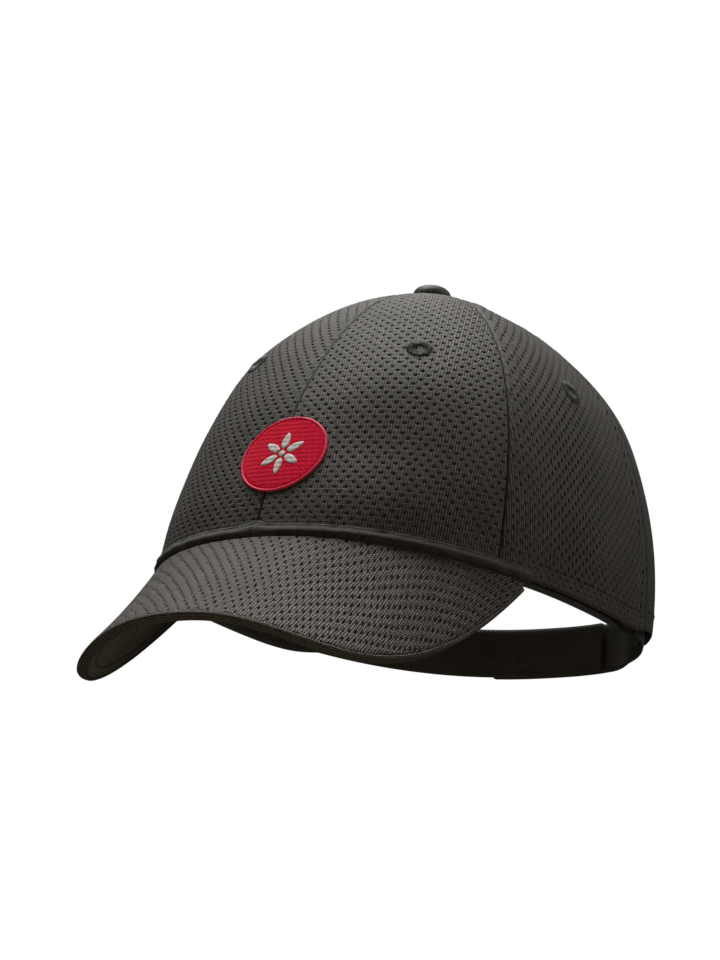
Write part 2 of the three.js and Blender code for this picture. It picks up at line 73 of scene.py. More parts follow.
PATCH_START, PATCH_END = 162.5 * DEGREE, 196.5 * DEGREE
EYELETS = {"front": (33.5, 0.468), "side": (91.5, 0.44), "back": (149.0, 0.45)}
EMBLEM_X, EMBLEM_Z, EMBLEM_HALF_WIDTH, EMBLEM_HALF_HEIGHT = 2.5, 39.0, 18.5, 16.6
BUTTON_RADIUS, BUTTON_HEIGHT, BUTTON_SKIN = 7.6, 5.9, 0.8

# ---------- Sizes that only the looks use ----------

VISOR_SPAN = 0.985  # how far across the visor its covers run, as a share of its half
STRAP_MIDDLE = (STRAP_BOTTOM + STRAP_TOP) / 2
STRAP_DEPTH, STRAP_THICKNESS = 2.7, 0.9  # how far inside the cloth a strap's outer face lies
STRAP_BEND = 2.5  # half the length of strap on each side of its hinge
STRAP_STITCH_ROWS = (3.7, 20.3)  # heights
TAPE_HALF_WIDTH, TAPE_STITCH = 8, 5.6
TAPE_WEDGE = math.tan(27 * DEGREE)  # tapes narrow towards the apex with the panels
PANEL_TOP = 0.983  # the rise at which the panels' points meet under the button
SWEAT_END, SWEAT_TOP, SWEAT_SEAM = 140 * DEGREE, 32.0, 28.6
HEM = 8.0  # height of the hem's stitches above the rim
SWELL_RADIUS = 85  # the radius at which a swell moves the cloth by its own size
# Size and depth of the near-black cords that paint the shade in the seams' grooves.
SEAM_SHADE_RADIUS, SEAM_SHADE_DEPTH = 0.42, 0.5
BACK_PANEL_KEPT = 0.72  # share of the back panel that the arched opening leaves
ARCH_RADIUS = 52  # the arched opening's mean radius, which turns its norm into a distance
TOPSTITCH_INSET = 6.6  # distance of a seam's topstitching from the seam
HEM_FADE = (6.5, 9.0)  # distance from the rim over which the cloth's holes reach their full size
# Half width and half height of the cloth's holes.
FRONT_HOLE, SIDE_HOLE, HEM_HOLE, VISOR_HOLE = (0.44, 0.38), (0.23, 0.92), (0.2, 0.22), (0.36, 0.74)
VISOR_HALF_ARC = 110  # the visor's half width along its curve
SEAMS = {
    "front": 0.0, "front_side_left": FRONT_SIDE_SEAM, "front_side_right": -FRONT_SIDE_SEAM,
    "side_back_left": SIDE_BACK_SEAM, "side_back_right": -SIDE_BACK_SEAM, "back": math.pi}
# Sections are [height above the rim or distance outwards, depth] points in order round the strip.
SEAM_ROLL_SECTION = [
    (-0.75, 1.2), (-0.6, -0.3), (0.1, -0.8), (0.75, -1.1), (1.5, -1.42), (2.2, -1.5), (2.8, -1.3),
    (3.3, -0.85), (3.8, -0.62), (4.3, -0.6), (4.7, -0.5), (4.8, -0.1), (3.0, 0.1), (0.6, 0.9)]
VISOR_EDGE_SECTION = [
    (-0.7, 0.6), (-0.15, 0.06), (0.35, 0.02), (0.85, 0.35), (1.15, 0.95), (1.28, 1.8), (1.2, 2.7),
    (0.95, 3.5), (0.45, 4.0), (-0.2, 4.12), (-0.9, 4.02), (-0.9, 2.2)]
SWEATBAND_FOLD = [
    (-0.95, 4.6), (-1.0, 3.4), (-0.9, 2.2), (-0.5, 1.45), (0.2, 1.35), (0.55, 2.0), (0.6, 3.2)]
# Eyelet ring: radius, height over the cloth, and how far the threads' uneven ends show there.
EYELET_PROFILE = [
    (5.0, -0.1, 1), (4.95, 0.22, 1), (4.5, 0.5, 0.8), (3.9, 0.68, 0.4), (3.1, 0.78, 0), (2.4, 0.72, 0),
    (1.9, 0.45, 0), (1.6, 0.05, 0), (1.5, -0.7, 0), (1.5, -1.4, 0), (2.0, -1.45, 0), (2.1, -0.2, 0)]
# Badge rim: share of the badge's half sizes, and depth.
BADGE_RIM_SECTION = [
    (0.945, -0.1), (0.946, -0.6), (0.955, -0.74), (0.97, -0.8), (0.985, -0.74), (0.998, -0.5), (1.002, -0.05)]


def smooth(value, start, end):
    t = np.clip((value - start) / (end - start), 0, 1)
    return t * t * (3 - 2 * t)


def mix(a, b, t):
    return a + (b - a) * t


def power_at(angle, powers):
    along = np.cos(angle)
    front, side, back = powers
    return side + (np.where(along > 0, front, back) - side) * along ** 2


def rim_plan(angle, depth=0.0):
    across, along = np.sin(angle), np.cos(angle)
    scale = (np.abs(across) ** PLAN_POWER + np.abs(along) ** PLAN_POWER) ** (-1 / PLAN_POWER)
    reach = np.where(along > 0, FRONT_REACH, BACK_REACH) - depth
    return (HALF_WIDTH - depth) * across * scale, -reach * along * scale


VISOR_END_X, VISOR_END_Y = (float(v) for v in rim_plan(np.array(VISOR_END)))


def rim_height(angle):
    turn = np.abs(np.arctan2(np.sin(angle), np.cos(angle)))
    across = np.minimum(rim_plan(turn)[0] / VISOR_END_X, 1)
    lifted = BACK_LIFT * smooth(turn, BACK_LIFT_START, BACK_LIFT_END)
    return np.where(turn > VISOR_END, lifted, VISOR_SEAM_RISE * (1 - np.abs(across) ** VISOR_SEAM_POWER))


# Where worn cloth stands proud of or sinks below the fair surface: angle (degrees), height, the
# spread of each, and how far out.
SWELLS = [(-53, 92, 30, 19, 3.0), (127, 92, 28, 18, 2.0), (28, 76, 22, 15, 1.5), (27, 42, 22, 15, -1.3),
          (-30, 40, 20, 14, -0.7), (90, 88, 20, 15, 0.9), (92, 46, 19, 17, -1.0), (160, 84, 18, 16, 0.8),
          (-95, 50, 22, 18, -0.8), (-150, 82, 20, 17, 0.8), (48, 104, 15, 9, -0.7), (-8, 66, 14, 13, 0.6)]


def swell(angle, height):
    out = np.zeros(np.broadcast(angle, height).shape)
    for turn, level, wide, tall, far in SWELLS:
        away = np.arctan2(np.sin(angle - turn * DEGREE), np.cos(angle - turn * DEGREE)) / (wide * DEGREE)
        out = out + far * np.exp(-away ** 2 - ((height - level) / tall) ** 2)
    return out * smooth(height, 10, 26)


def crown(angle, rise, depth=0.0):
    angle, rise, depth = np.broadcast_arrays(*(np.asarray(v, float) for v in (angle, rise, depth)))
    rim_x, rim_y = rim_plan(angle, depth)
    rim_z = rim_height(angle)
    turn = np.clip(rise, 0, 1) * math.pi / 2
    spread = np.maximum(np.cos(turn), 0) ** (2 / power_at(angle, SPREAD_POWER))
    climb = np.sin(turn) ** (2 / power_at(angle, HEIGHT_POWER))
    z = rim_z + (CROWN_HEIGHT - depth - rim_z) * climb
    lean = FRONT_LEAN * np.maximum(np.cos(angle), 0) * z * spread
    proud = 1 + swell(angle, z) / SWELL_RADIUS
    return np.stack([rim_x * spread * proud, APEX_Y + (rim_y - APEX_Y) * spread * proud + lean, z], -1)


def rise_at(angle, height):
    rim_z = rim_height(angle)
    share = np.clip((height - rim_z) / (CROWN_HEIGHT - rim_z), 0, 1)
    return np.arcsin(share ** (power_at(angle, HEIGHT_POWER) / 2)) / (math.pi / 2)


def rise_over_rim(angle, height):
    return rise_at(angle, rim_height(angle) + height)


def angle_at(x, height, guess):
    """The angle near a guess at which the outer fabric has a given x at a given height."""
    angle = np.array(guess, float) + 0 * np.asarray(x, float)
    step = 1e-4
    for _ in range(14):
        here = crown(angle, rise_at(angle, height))[..., 0]
        there = crown(angle + step, rise_at(angle + step, height))[..., 0]
        slope = (there - here) / step
        angle = angle - np.clip((here - x) / np.where(np.abs(slope) < 1e-6, 1e-6, slope), -0.3, 0.3)
    return angle


def layer(angle, height, depth):
    """A point at a height on a layer; below the rim the layer hangs straight down."""
    angle, height, depth = np.broadcast_arrays(*(np.asarray(v, float) for v in (angle, height, depth)))
    point = crown(angle, rise_at(angle, height), depth)
    point[..., 2] = np.where(height < rim_height(angle), height, point[..., 2])
    return point


def visor_edge_height(x, y):
    def sag(t):
        return VISOR_ARCH_DEPTH * (np.abs(t) / VISOR_ARCH_HALF_WIDTH) ** VISOR_ARCH_POWER
    return VISOR_SLOPE * (y - VISOR_END_Y) + sag(VISOR_END_X) - sag(x)


def visor_sheet(across, out):
    across, out = np.broadcast_arrays(np.asarray(across, float), np.asarray(out, float))
    seam_x, seam_y = rim_plan(across * VISOR_END)
    forward = FRONT_REACH + VISOR_REACH + VISOR_END_Y
    turn = across * math.pi / 2
    bulge = np.sin(math.pi * across) ** 2
    side = np.sign(across) * np.abs(np.sin(turn)) ** (2 / VISOR_SIDE_POWER)
    edge_x = VISOR_END_X * side + np.sign(across) * VISOR_SIDE_BULGE * bulge
    front = np.maximum(np.cos(turn), 0) ** (2 / VISOR_FRONT_POWER)
    edge_y = VISOR_END_Y - forward * front - VISOR_CORNER_BULGE * bulge
    seam = np.stack([seam_x, seam_y, rim_height(across * VISOR_END)], -1)
    edge = np.stack([edge_x, edge_y, visor_edge_height(edge_x, edge_y)], -1)
    return seam + (edge - seam) * out[..., None]


def unit(v):
    return v / np.maximum(np.linalg.norm(v, axis=-1, keepdims=True), 1e-12)


def normal_of(surface, a, b, step=1e-3):
    """Outward normal of a surface(a, b) whose a runs to the wearer's left and b up or forward."""
    along = surface(a + step, b) - surface(a - step, b)
    up = surface(a, b + step) - surface(a, b - step)
    return unit(np.cross(along, up))


def visor(across, out, depth=0.0):
    across = np.clip(across, -0.9985, 0.9985)
    normal = -normal_of(visor_sheet, across, out)
    return visor_sheet(across, out) - normal * np.asarray(depth, float)[..., None]


def crown_normal(angle, rise):
    return normal_of(crown, angle, np.clip(rise, 0.002, 0.998))


def crown_row(angle, rise, depth=0.0, inside=False):
    """A line on a layer of the crown, and the way its stitches stand out."""
    normal = crown_normal(angle, rise)
    return crown(angle, rise, depth), -normal if inside else normal


def lengths_along(line):
    """The distance along a line to each of its points."""
    return np.concatenate([[0], np.cumsum(np.linalg.norm(np.diff(line, axis=0), axis=-1))])


# ---------- Meshes ----------

def make_piece(name, points, faces, materials, uv=None, face_material=None, body="crown"):
    mesh = bpy.data.meshes.new(name)
    mesh.from_pydata((np.asarray(points) * MM).tolist(), [], faces)
    piece = bpy.data.objects.new(name, mesh)
    bpy.context.scene.collection.objects.link(piece)
    for material in materials:
        mesh.materials.append(material)
    if face_material is not None:
        mesh.polygons.foreach_set("material_index", np.asarray(face_material, np.int32))
    if uv is not None:
        layer_uv = mesh.uv_layers.new(name="fabric")
        loops = np.zeros(len(mesh.loops), np.int32)
        mesh.loops.foreach_get("vertex_index", loops)
        layer_uv.data.foreach_set("uv", (np.asarray(uv)[loops] * 0.01).astype(np.float32).ravel())
    mesh.polygons.foreach_set("use_smooth", np.ones(len(mesh.polygons), bool))
    mesh.update()
    if body:
        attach(piece, body)
    return piece


def settle_normals(piece, weld=0.0):
    """Turns the faces outwards, after joining the points that lie closer than weld."""
    work = bmesh.new()
    work.from_mesh(piece.data)
    if weld:
        bmesh.ops.remove_doubles(work, verts=work.verts, dist=weld * MM)
        bmesh.ops.dissolve_degenerate(work, edges=work.edges, dist=1e-6)
    bmesh.ops.recalc_face_normals(work, faces=work.faces)
    work.to_mesh(piece.data)
    work.free()
    return piece


def tube(spine, side, up, radius, sides):
    """Rings of points round a line; side and up are the two directions across it."""
    turns = (np.arange(sides) * 2 * math.pi / sides)[:, None]
    return spine[:, None] + radius * (np.cos(turns) * side + np.sin(turns) * up)


def tube_faces(index):
    """The faces of a closed tube. Each row of index holds the numbers of one ring's points."""
    a, b = index[:-1], index[1:]
    round_it = np.stack([a, b, np.roll(b, -1, 1), np.roll(a, -1, 1)], -1).reshape(-1, 4)
    return round_it.tolist() + [index[0].tolist(), index[-1][::-1].tolist()]


def lattice_cells(x_range, y_range, pitch, row, corner):
    """Staggered cells of cloth round each hole: centres, and the twelve points round each."""
    rows = np.arange(math.floor(y_range[0] / row) - 1, math.ceil(y_range[1] / row) + 2)
    columns = np.arange(math.floor(x_range[0] / pitch) - 1, math.ceil(x_range[1] / pitch) + 2)
    j, i = np.meshgrid(rows, columns, indexing="ij")
    centres = np.stack([(i + 0.5 * (j % 2)) * pitch, (j + 0.5) * row], -1).reshape(-1, 2)
    tip = row - corner
    ring = np.array([[-2, -corner], [-1, -row / 2], [0, -tip], [1, -row / 2], [2, -corner], [2, 0],
                     [2, corner], [1, row / 2], [0, tip], [-1, row / 2], [-2, corner], [-2, 0]])
    ring[:, 0] *= pitch / 4
    return centres, ring


RING = np.arange(12)
RING_TURN = (210 + 30 * RING) * DEGREE


def holed_cloth(name, area, spec, materials):
    """A knitted sheet with its holes. area gives: box (x and y ranges in the cloth), inside(xy),
    clamp(xy) -> xy on or inside the border, edge(xy) -> distance in from the border, and
    place(xy, depth) -> 3-D points. spec gives the lattice and the hole's half sizes."""
    centres, ring = lattice_cells(*area["box"], spec["pitch"], spec["row"], spec["corner"])
    cells = centres[:, None, :] + ring[None]
    keep = area["inside"](cells.reshape(-1, 2)).reshape(cells.shape[:2]).any(1)
    centres, cells = centres[keep], cells[keep]
    keys = np.round(cells.reshape(-1, 2) * 200).astype(np.int64)
    _, first, index = np.unique(keys, axis=0, return_index=True, return_inverse=True)
    index = index.reshape(len(cells), 12)
    flat = area["clamp"](cells.reshape(-1, 2)[first])
    width, height = spec["hole"](centres)
    margin = area["edge"](centres)
    open_hole = (margin > spec["margin"]) & (width > 0)
    outward = 0.06
    groups, depths = [flat], [area["groove"](flat)]
    count = len(flat)
    faces, tags = [], []
    rims = [(1.0, 0.3), (1.0, 0.0), (0.84, 0.0)]
    floors = [0.0, 0.26 + outward, spec["deep"]]
    rings = []
    opened = np.where(open_hole)[0]
    for (scale, spread), depth in zip(rims, floors):
        points = np.stack([
            centres[opened, 0, None] + width[opened, None] * scale * np.cos(RING_TURN)[None],
            centres[opened, 1, None] + height[opened, None] * scale * np.sin(RING_TURN)[None]], -1)
        points = mix(points, flat[index[opened]], spread)
        rings.append(count + np.arange(points.shape[0] * 12).reshape(-1, 12))
        points = points.reshape(-1, 2)
        groups.append(points)
        depths.append(np.full(len(points), depth - outward) + area["groove"](points))
        count += len(points)
    outer_rings = [index[opened], *rings]
    for a, b in zip(outer_rings[:-1], outer_rings[1:]):
        quads = np.stack([a, np.roll(a, -1, 1), np.roll(b, -1, 1), b], -1).reshape(-1, 4)
        faces += quads.tolist()
        tags += [0 if b is not rings[-1] else 1] * len(quads)
    faces += rings[-1].tolist()
    tags += [1] * len(opened)
    closed = np.where(~open_hole)[0]
    middle = area["clamp"](centres[closed])
    groups.append(middle)
    depths.append(area["groove"](middle))
    hubs = count + np.arange(len(closed))
    count += len(closed)
    fans = np.stack([index[closed], np.roll(index[closed], -1, 1),
                     np.repeat(hubs[:, None], 12, 1)], -1).reshape(-1, 3)
    faces += fans.tolist()
    tags += [0] * len(fans)
    back = count + index
    groups.append(flat)
    depths.append(np.full(len(flat), spec["thick"]))
    faces += back[:, ::-1].tolist()
    tags += [0] * len(back)
    # the rim between the two sides
    edges = np.stack([index, np.roll(index, -1, 1)], -1).reshape(-1, 2)
    pair = np.sort(edges, 1)
    _, which, times = np.unique(pair, axis=0, return_inverse=True, return_counts=True)
    border = edges[times[which.ravel()] == 1]
    rim = np.stack([border[:, 1], border[:, 0], border[:, 0] + count, border[:, 1] + count], -1)
    faces += rim.tolist()
    tags += [0] * len(rim)
    points = np.concatenate(groups)
    placed = area["place"](points, np.concatenate(depths))
    piece = make_piece(name, placed, faces, materials, uv=points, face_material=tags)
    return settle_normals(piece)


def blend_rows(table, at):
    """A table's rows at fractional row numbers."""
    at = np.clip(at, 0, len(table) - 1.001)
    low = at.astype(int)
    part = (at - low)[:, None]
    return table[low] * (1 - part) + table[low + 1] * part


def look_up(rows, values, far, least, most):
    """The value, evenly spaced along each row, at which the row reaches far."""
    slot = np.clip((rows < far[:, None]).sum(1), 1, len(values) - 1)
    here = np.arange(len(far))
    first, second = rows[here, slot - 1], rows[here, slot]
    share = np.clip((far - first) / np.maximum(second - first, 1e-9), least, most)
    return values[slot - 1] + (values[1] - values[0]) * share


def gore_area(first, second, top, base, groove_depth=0.8):
    """The cloth of a crown panel between two seams. base(angle) gives the lowest rise."""
    gap = 0.12
    middle = (first + second) / 2
    rises = np.linspace(0, 1, 181)
    rises[-1] = 0.9995
    turns = np.linspace(first - 0.1, second + 0.1, 101)
    grid = crown(turns[None, :], rises[:, None])
    steps = np.linalg.norm(np.diff(grid, axis=1), axis=-1)
    across = np.concatenate([np.zeros((len(rises), 1)), np.cumsum(steps, 1)], 1)
    across -= np.array([np.interp(middle, turns, row) for row in across])[:, None]
    spine = crown(np.full_like(rises, middle), rises)
    up = lengths_along(spine)
    left = np.array([np.interp(first, turns, row) for row in across])
    right = np.array([np.interp(second, turns, row) for row in across])
    top_y = np.interp(top, rises, up)

    def to_param(xy):
        rise = np.interp(xy[:, 1], up, rises)
        table = blend_rows(across, np.interp(rise, rises, np.arange(len(rises))))
        return look_up(table, turns, xy[:, 0], -1, 2), rise

    def sides(xy):
        return np.interp(xy[:, 1], up, left) + gap, np.interp(xy[:, 1], up, right) - gap

    def bottom(xy):
        return np.interp(base(to_param(xy)[0]), rises, up)

    def inside(xy):
        low, high = sides(xy)
        good = (xy[:, 0] > low) & (xy[:, 0] < high) & (xy[:, 1] < top_y)
        return good & (xy[:, 1] > bottom(xy))

    def clamp(xy):
        xy = xy.copy()
        xy[:, 1] = np.clip(xy[:, 1], bottom(xy), top_y)
        low, high = sides(xy)
        xy[:, 0] = np.clip(xy[:, 0], low, np.maximum(high, low))
        return xy

    def seam_distance(xy):
        low, high = sides(xy)
        return np.minimum(xy[:, 0] - low, high - xy[:, 0])

    def edge(xy):
        return np.minimum(seam_distance(xy), xy[:, 1] - bottom(xy))

    def groove(xy):
        near = np.clip(1 - seam_distance(xy) / 1.15, 0, 1)
        rim = np.clip(1 - (xy[:, 1] - bottom(xy)) / 1.0, 0, 1)
        return groove_depth * near ** 2 + 0.5 * rim ** 2

    def place(xy, depth):
        angle, rise = to_param(xy)
        point = crown(angle, rise)
        return point - crown_normal(angle, rise) * depth[:, None]

    return {"box": ((left.min(), right.max()), (0, top_y)), "inside": inside, "clamp": clamp, "edge": edge,
            "groove": groove, "place": place, "to_param": to_param, "up": up,
            "rises": rises, "left": left, "right": right, "seam_distance": seam_distance, "top": top_y}


# ---------- Materials ----------

class Nodes:
    """A short way to wire one material."""

    def __init__(self, name):
        self.material = bpy.data.materials.new(name)
        self.material.use_nodes = True
        self.tree = self.material.node_tree
        self.shader = self.tree.nodes["Principled BSDF"]
        self.shader.inputs["Specular IOR Level"].default_value = 0.2

    def new(self, kind, **inputs):
        node = self.tree.nodes.new(kind)
        for key, value in inputs.items():
            self.wire(value, node.inputs[key])
        return node

    def wire(self, value, socket):
        if isinstance(value, bpy.types.NodeSocket):
            self.tree.links.new(value, socket)
        else:
            socket.default_value = value

    def math(self, operation, a, b=0.0):
        node = self.new("ShaderNodeMath")
        node.operation = operation
        self.wire(a, node.inputs[0])
        self.wire(b, node.inputs[1])
        return node.outputs[0]

    def total(self, *terms):
        """The sum of its terms, each of them a value or a (value, weight) pair."""
        parts = [self.math("MULTIPLY", *term) if isinstance(term, tuple) else term for term in terms]
        result = parts[0]
        for part in parts[1:]:
            result = self.math("ADD", result, part)
        return result

    def wave(self, value, period):
        """A sine of value, from 0 to 1, with a period in millimetres."""
        turned = self.math("SINE", self.math("MULTIPLY", value, 2 * math.pi / period))
        return self.math("ADD", self.math("MULTIPLY", turned, 0.5), 0.5)

    def cloth(self):
        """Cloth coordinates in millimetres."""
        node = self.new("ShaderNodeUVMap")
        node.uv_map = "fabric"
        split = self.new("ShaderNodeSeparateXYZ", Vector=node.outputs[0])
        return self.math("MULTIPLY", split.outputs[0], 100), self.math("MULTIPLY", split.outputs[1], 100)

    def noise(self, scale, detail=3.0, roughness=0.6):
        where = self.new("ShaderNodeTexCoord").outputs["Object"]
        return self.new("ShaderNodeTexNoise", Vector=where, Scale=scale, Detail=detail,
                        Roughness=roughness).outputs[0]

    def colours(self, factor, stops):
        ramp = self.tree.nodes.new("ShaderNodeValToRGB")
        self.wire(factor, ramp.inputs[0])
        while len(ramp.color_ramp.elements) < len(stops):
            ramp.color_ramp.elements.new(0.5)
        for element, (place, colour) in zip(ramp.color_ramp.elements, stops):
            element.position = place
            element.color = (*colour, 1)
        return ramp.outputs[0]

    def finish(self, colour, roughness, bump=None, height=0.0003, strength=1.0, **fixed):
        self.wire(colour, self.shader.inputs["Base Color"])
        self.wire(roughness, self.shader.inputs["Roughness"])
        for key, value in fixed.items():
            self.shader.inputs[key.replace("_", " ").title().replace("Ior", "IOR")].default_value = value
        if bump is not None:
            node = self.new("ShaderNodeBump", Distance=height, Strength=strength, Height=bump)
            self.wire(node.outputs[0], self.shader.inputs["Normal"])
        return self.material


def shade(colour, factor):
    return tuple(min(1.0, c * factor) for c in colour)


def knit(name, colour, rib=1.12, loop=0.86, roughness=0.62, depth=0.00026, sheen=0.03, lint=0.4,
         crest=4.0):
    """A knitted cloth: ribs of small loops along the cloth's length, with slubs, uneven dye and lint.
    The ribs' crests are painted up to crest times brighter and their troughs darker: painted
    highlight and painted shade."""
    n = Nodes(name)
    x, y = n.cloth()
    wander = n.math("MULTIPLY", n.noise(420, 3), 0.55)
    ribs = n.wave(n.total(x, (n.wave(y, loop), 0.22), wander), rib)
    loops = n.wave(n.total(y, wander, (n.wave(x, rib), 0.3)), loop)
    weave = n.total((ribs, 0.62), (loops, 0.38))
    fuzz, slub = n.noise(2100, 5, 0.75), n.noise(760, 3, 0.75)
    height = n.total(weave, (fuzz, lint), (slub, 0.5))
    patches = n.math("SUBTRACT", n.noise(45, 3), 0.5)
    tone = n.total((weave, 0.42), (slub, 0.34), (fuzz, 0.24), (patches, 0.17))
    # Painted highlight on the ribs' crests and painted shade in their troughs; slubs, lint and dye patches
    # vary the tone at random.
    colours = n.colours(tone, [(0.36, shade(colour, 0.3)), (0.49, shade(colour, 0.8)),
                               (0.56, shade(colour, 1.5)), (0.67, shade(colour, crest))])
    rough = n.total((fuzz, 0.2), roughness - 0.1)
    return n.finish(colours, rough, height, depth, sheen_weight=sheen, sheen_roughness=0.45)


def twill(name, colour, pitch=0.9, roughness=0.7, depth=0.00015, sheen=0.03, across=0.6):
    """A woven cloth with diagonal ribs."""
    n = Nodes(name)
    x, y = n.cloth()
    diagonal = n.wave(n.total(x, (y, across)), pitch)
    threads = n.wave(n.total(y, (x, -0.15)), pitch * 0.55)
    weave = n.total((diagonal, 0.6), (threads, 0.4))
    fuzz = n.noise(2400, 4)
    tone = n.total((weave, 0.5), (n.noise(80, 4), 0.5))
    colours = n.colours(tone, [(0.15, shade(colour, 0.6)), (0.5, colour), (0.85, shade(colour, 1.5))])
    return n.finish(colours, n.total((fuzz, 0.2), roughness - 0.1), n.total(weave, (fuzz, 0.3)),
                    depth, sheen_weight=sheen, sheen_roughness=0.5)


def thread(name, colour, pitch=0.32, roughness=0.45, depth=0.0001, sheen=0.04, speckle=0.45, gloss=0.2):
    """Laid or twisted thread: fine parallel strands, broken into stitches, with a gloss."""
    n = Nodes(name)
    x, y = n.cloth()
    wander = n.math("MULTIPLY", n.noise(900, 3), 0.5)
    strands = n.wave(n.total(x, (y, 0.35), wander), pitch)
    rows = n.wave(n.total(y, (strands, 0.2), wander), 1.9)
    grain = n.noise(1500, 4, 0.75)
    tone = n.total((strands, 0.3), (grain, speckle), (rows, 0.7 - speckle))
    colours = n.colours(tone, [(0.2, shade(colour, 0.5)), (0.5, colour), (0.75, shade(colour, 1.45))])
    return n.finish(colours, n.total((strands, 0.15), roughness - 0.08), n.total(strands, (rows, 0.35)),
                    depth, sheen_weight=sheen, sheen_roughness=0.35, specular_ior_level=gloss)


MESH_COLOUR = (0.0207, 0.0178, 0.0133)
MESH = knit("mesh_cloth", MESH_COLOUR)
# The visor's copy of the mesh cloth is painted 1.2 times lighter, with brighter crests: painted light on the
# visor's upturned top.
LIT_MESH_VISOR = knit("mesh_cloth_visor_painted_lit", shade(MESH_COLOUR, 1.2), rib=1.3, depth=0.0005, crest=4.8)
HOLE = knit("hole_shadow", (0.011, 0.0095, 0.0072), sheen=0.0)
UNDER = knit("visor_under_cloth", (0.092, 0.076, 0.054), rib=1.0, loop=0.8, roughness=0.7)
ROLL = knit("seam_roll_cloth", (0.020, 0.0172, 0.0129), rib=0.85, loop=0.8, depth=0.0003, lint=1.0, crest=4.2)
BINDING = knit("edge_cloth", (0.030, 0.0248, 0.0178), rib=1.0)
BUCKRAM = twill("buckram_cloth", (0.045, 0.043, 0.04), pitch=1.3, roughness=0.8, depth=0.0002, across=0.0)
TAPE = twill("tape_cloth", (0.022, 0.021, 0.019), pitch=1.1)
SWEAT = knit("sweatband_cloth", (0.03, 0.028, 0.026), rib=0.6, loop=0.5, roughness=0.8, sheen=0.06, lint=0.6)
STRAP = twill("strap_cloth", (0.034, 0.030, 0.024), pitch=1.0, depth=0.0002)
LABEL = twill("label_cloth", (0.74, 0.72, 0.67), pitch=0.5, roughness=0.45, depth=0.00005, sheen=0.05)
BUTTON = twill("button_cloth", (0.0165, 0.0136, 0.0103), pitch=0.5, roughness=0.56, depth=0.00005, sheen=0.0)
THREAD = thread("sewing_thread", (0.022, 0.020, 0.016), pitch=0.2)
# Near black, darker than the sewing thread: paints the shade in the seams' grooves.
SEAM_SHADE = thread("seam_shade_cord", (0.0085, 0.0074, 0.0056), pitch=0.4, sheen=0.0, gloss=0.1)
EYELET = thread("eyelet_thread", (0.036, 0.037, 0.031), pitch=0.3)
RED = thread("emblem_red_thread", (0.66, 0.005, 0.034), pitch=0.5, roughness=0.6, depth=0.00018, sheen=0.0,
             speckle=0.66, gloss=0.04)
RED_EDGE = thread("emblem_edge_thread", (0.82, 0.04, 0.105), pitch=0.45, roughness=0.4, sheen=0.0, gloss=0.1)
WHITE = thread("emblem_white_thread", (0.62, 0.60, 0.58), pitch=0.5, roughness=0.5, depth=0.0002)
HOOKS = thread("hook_nylon", (0.02, 0.02, 0.019), pitch=0.4, roughness=0.35)
LOOPS = knit("loop_pile", (0.028, 0.027, 0.025), rib=0.5, loop=0.45, roughness=0.9, depth=0.0003,
             sheen=0.1, lint=1.0)


def moulded(name, colour, roughness, metallic=0.0, stretch=1):
    """Plastic or metal with a fine grain, which stretch draws out into brushed lines."""
    n = Nodes(name)
    where = n.new("ShaderNodeMapping", Vector=n.new("ShaderNodeTexCoord").outputs["Object"])
    where.inputs["Scale"].default_value = (1, 1, stretch)
    fine = n.new("ShaderNodeTexNoise", Vector=where.outputs[0], Scale=900.0, Detail=4).outputs[0]
    tone = n.total((fine, 0.5), (n.noise(90, 4), 0.5))
    colours = n.colours(tone, [(0.2, shade(colour, 0.75)), (0.8, shade(colour, 1.15))])
    return n.finish(colours, n.total((fine, 0.2), roughness - 0.1), fine, 0.00004, metallic=metallic)


BOARD = moulded("visor_board_plastic", (0.11, 0.11, 0.10), 0.5)
STEEL = moulded("brushed_steel", (0.55, 0.55, 0.54), 0.32, metallic=1.0, stretch=14)

# ---------- Crown panels ----------


def hole_sizes(kind, area):
    """Half width and half height of the holes at cloth points."""
    def sizes(xy):
        width, height = FRONT_HOLE if kind == "front" else SIDE_HOLE
        hem = smooth(area["edge"](xy) if kind == "back" else xy[:, 1], *HEM_FADE)
        return mix(HEM_HOLE[0], width, hem), mix(HEM_HOLE[1], height, hem)
    return sizes


def rim_base(angle):
    return rise_over_rim(angle, 0.5)


SPECS = {
    "front": {"pitch": 4.7, "row": 2.25, "corner": 0.75, "deep": 0.52, "margin": 1.1, "thick": 1.05},
    "side": {"pitch": 4.4, "row": 2.25, "corner": 0.45, "deep": 0.85, "margin": 1.5, "thick": 1.05},
}


def right_side(points):
    """Moves mirrored points of the left side out and in by the right side's own swells."""
    x, y, z = points.T
    turns = np.linspace(0, math.pi, 721)
    rim_x, rim_y = rim_plan(turns)
    headings, reaches = np.arctan2(rim_x, APEX_Y - rim_y), np.hypot(rim_x, APEX_Y - rim_y)
    lean = np.zeros(len(x))
    for _ in range(4):
        angle = np.interp(np.arctan2(-x, APEX_Y + lean - y), headings, turns)
        spread = np.hypot(x, APEX_Y + lean - y) / np.interp(angle, turns, reaches)
        lean = FRONT_LEAN * np.maximum(np.cos(angle), 0) * z * spread
    change = (1 + swell(-angle, z) / SWELL_RADIUS) / (1 + swell(angle, z) / SWELL_RADIUS)
    return np.stack([x * change, APEX_Y + lean + (y - APEX_Y - lean) * change, z], -1)


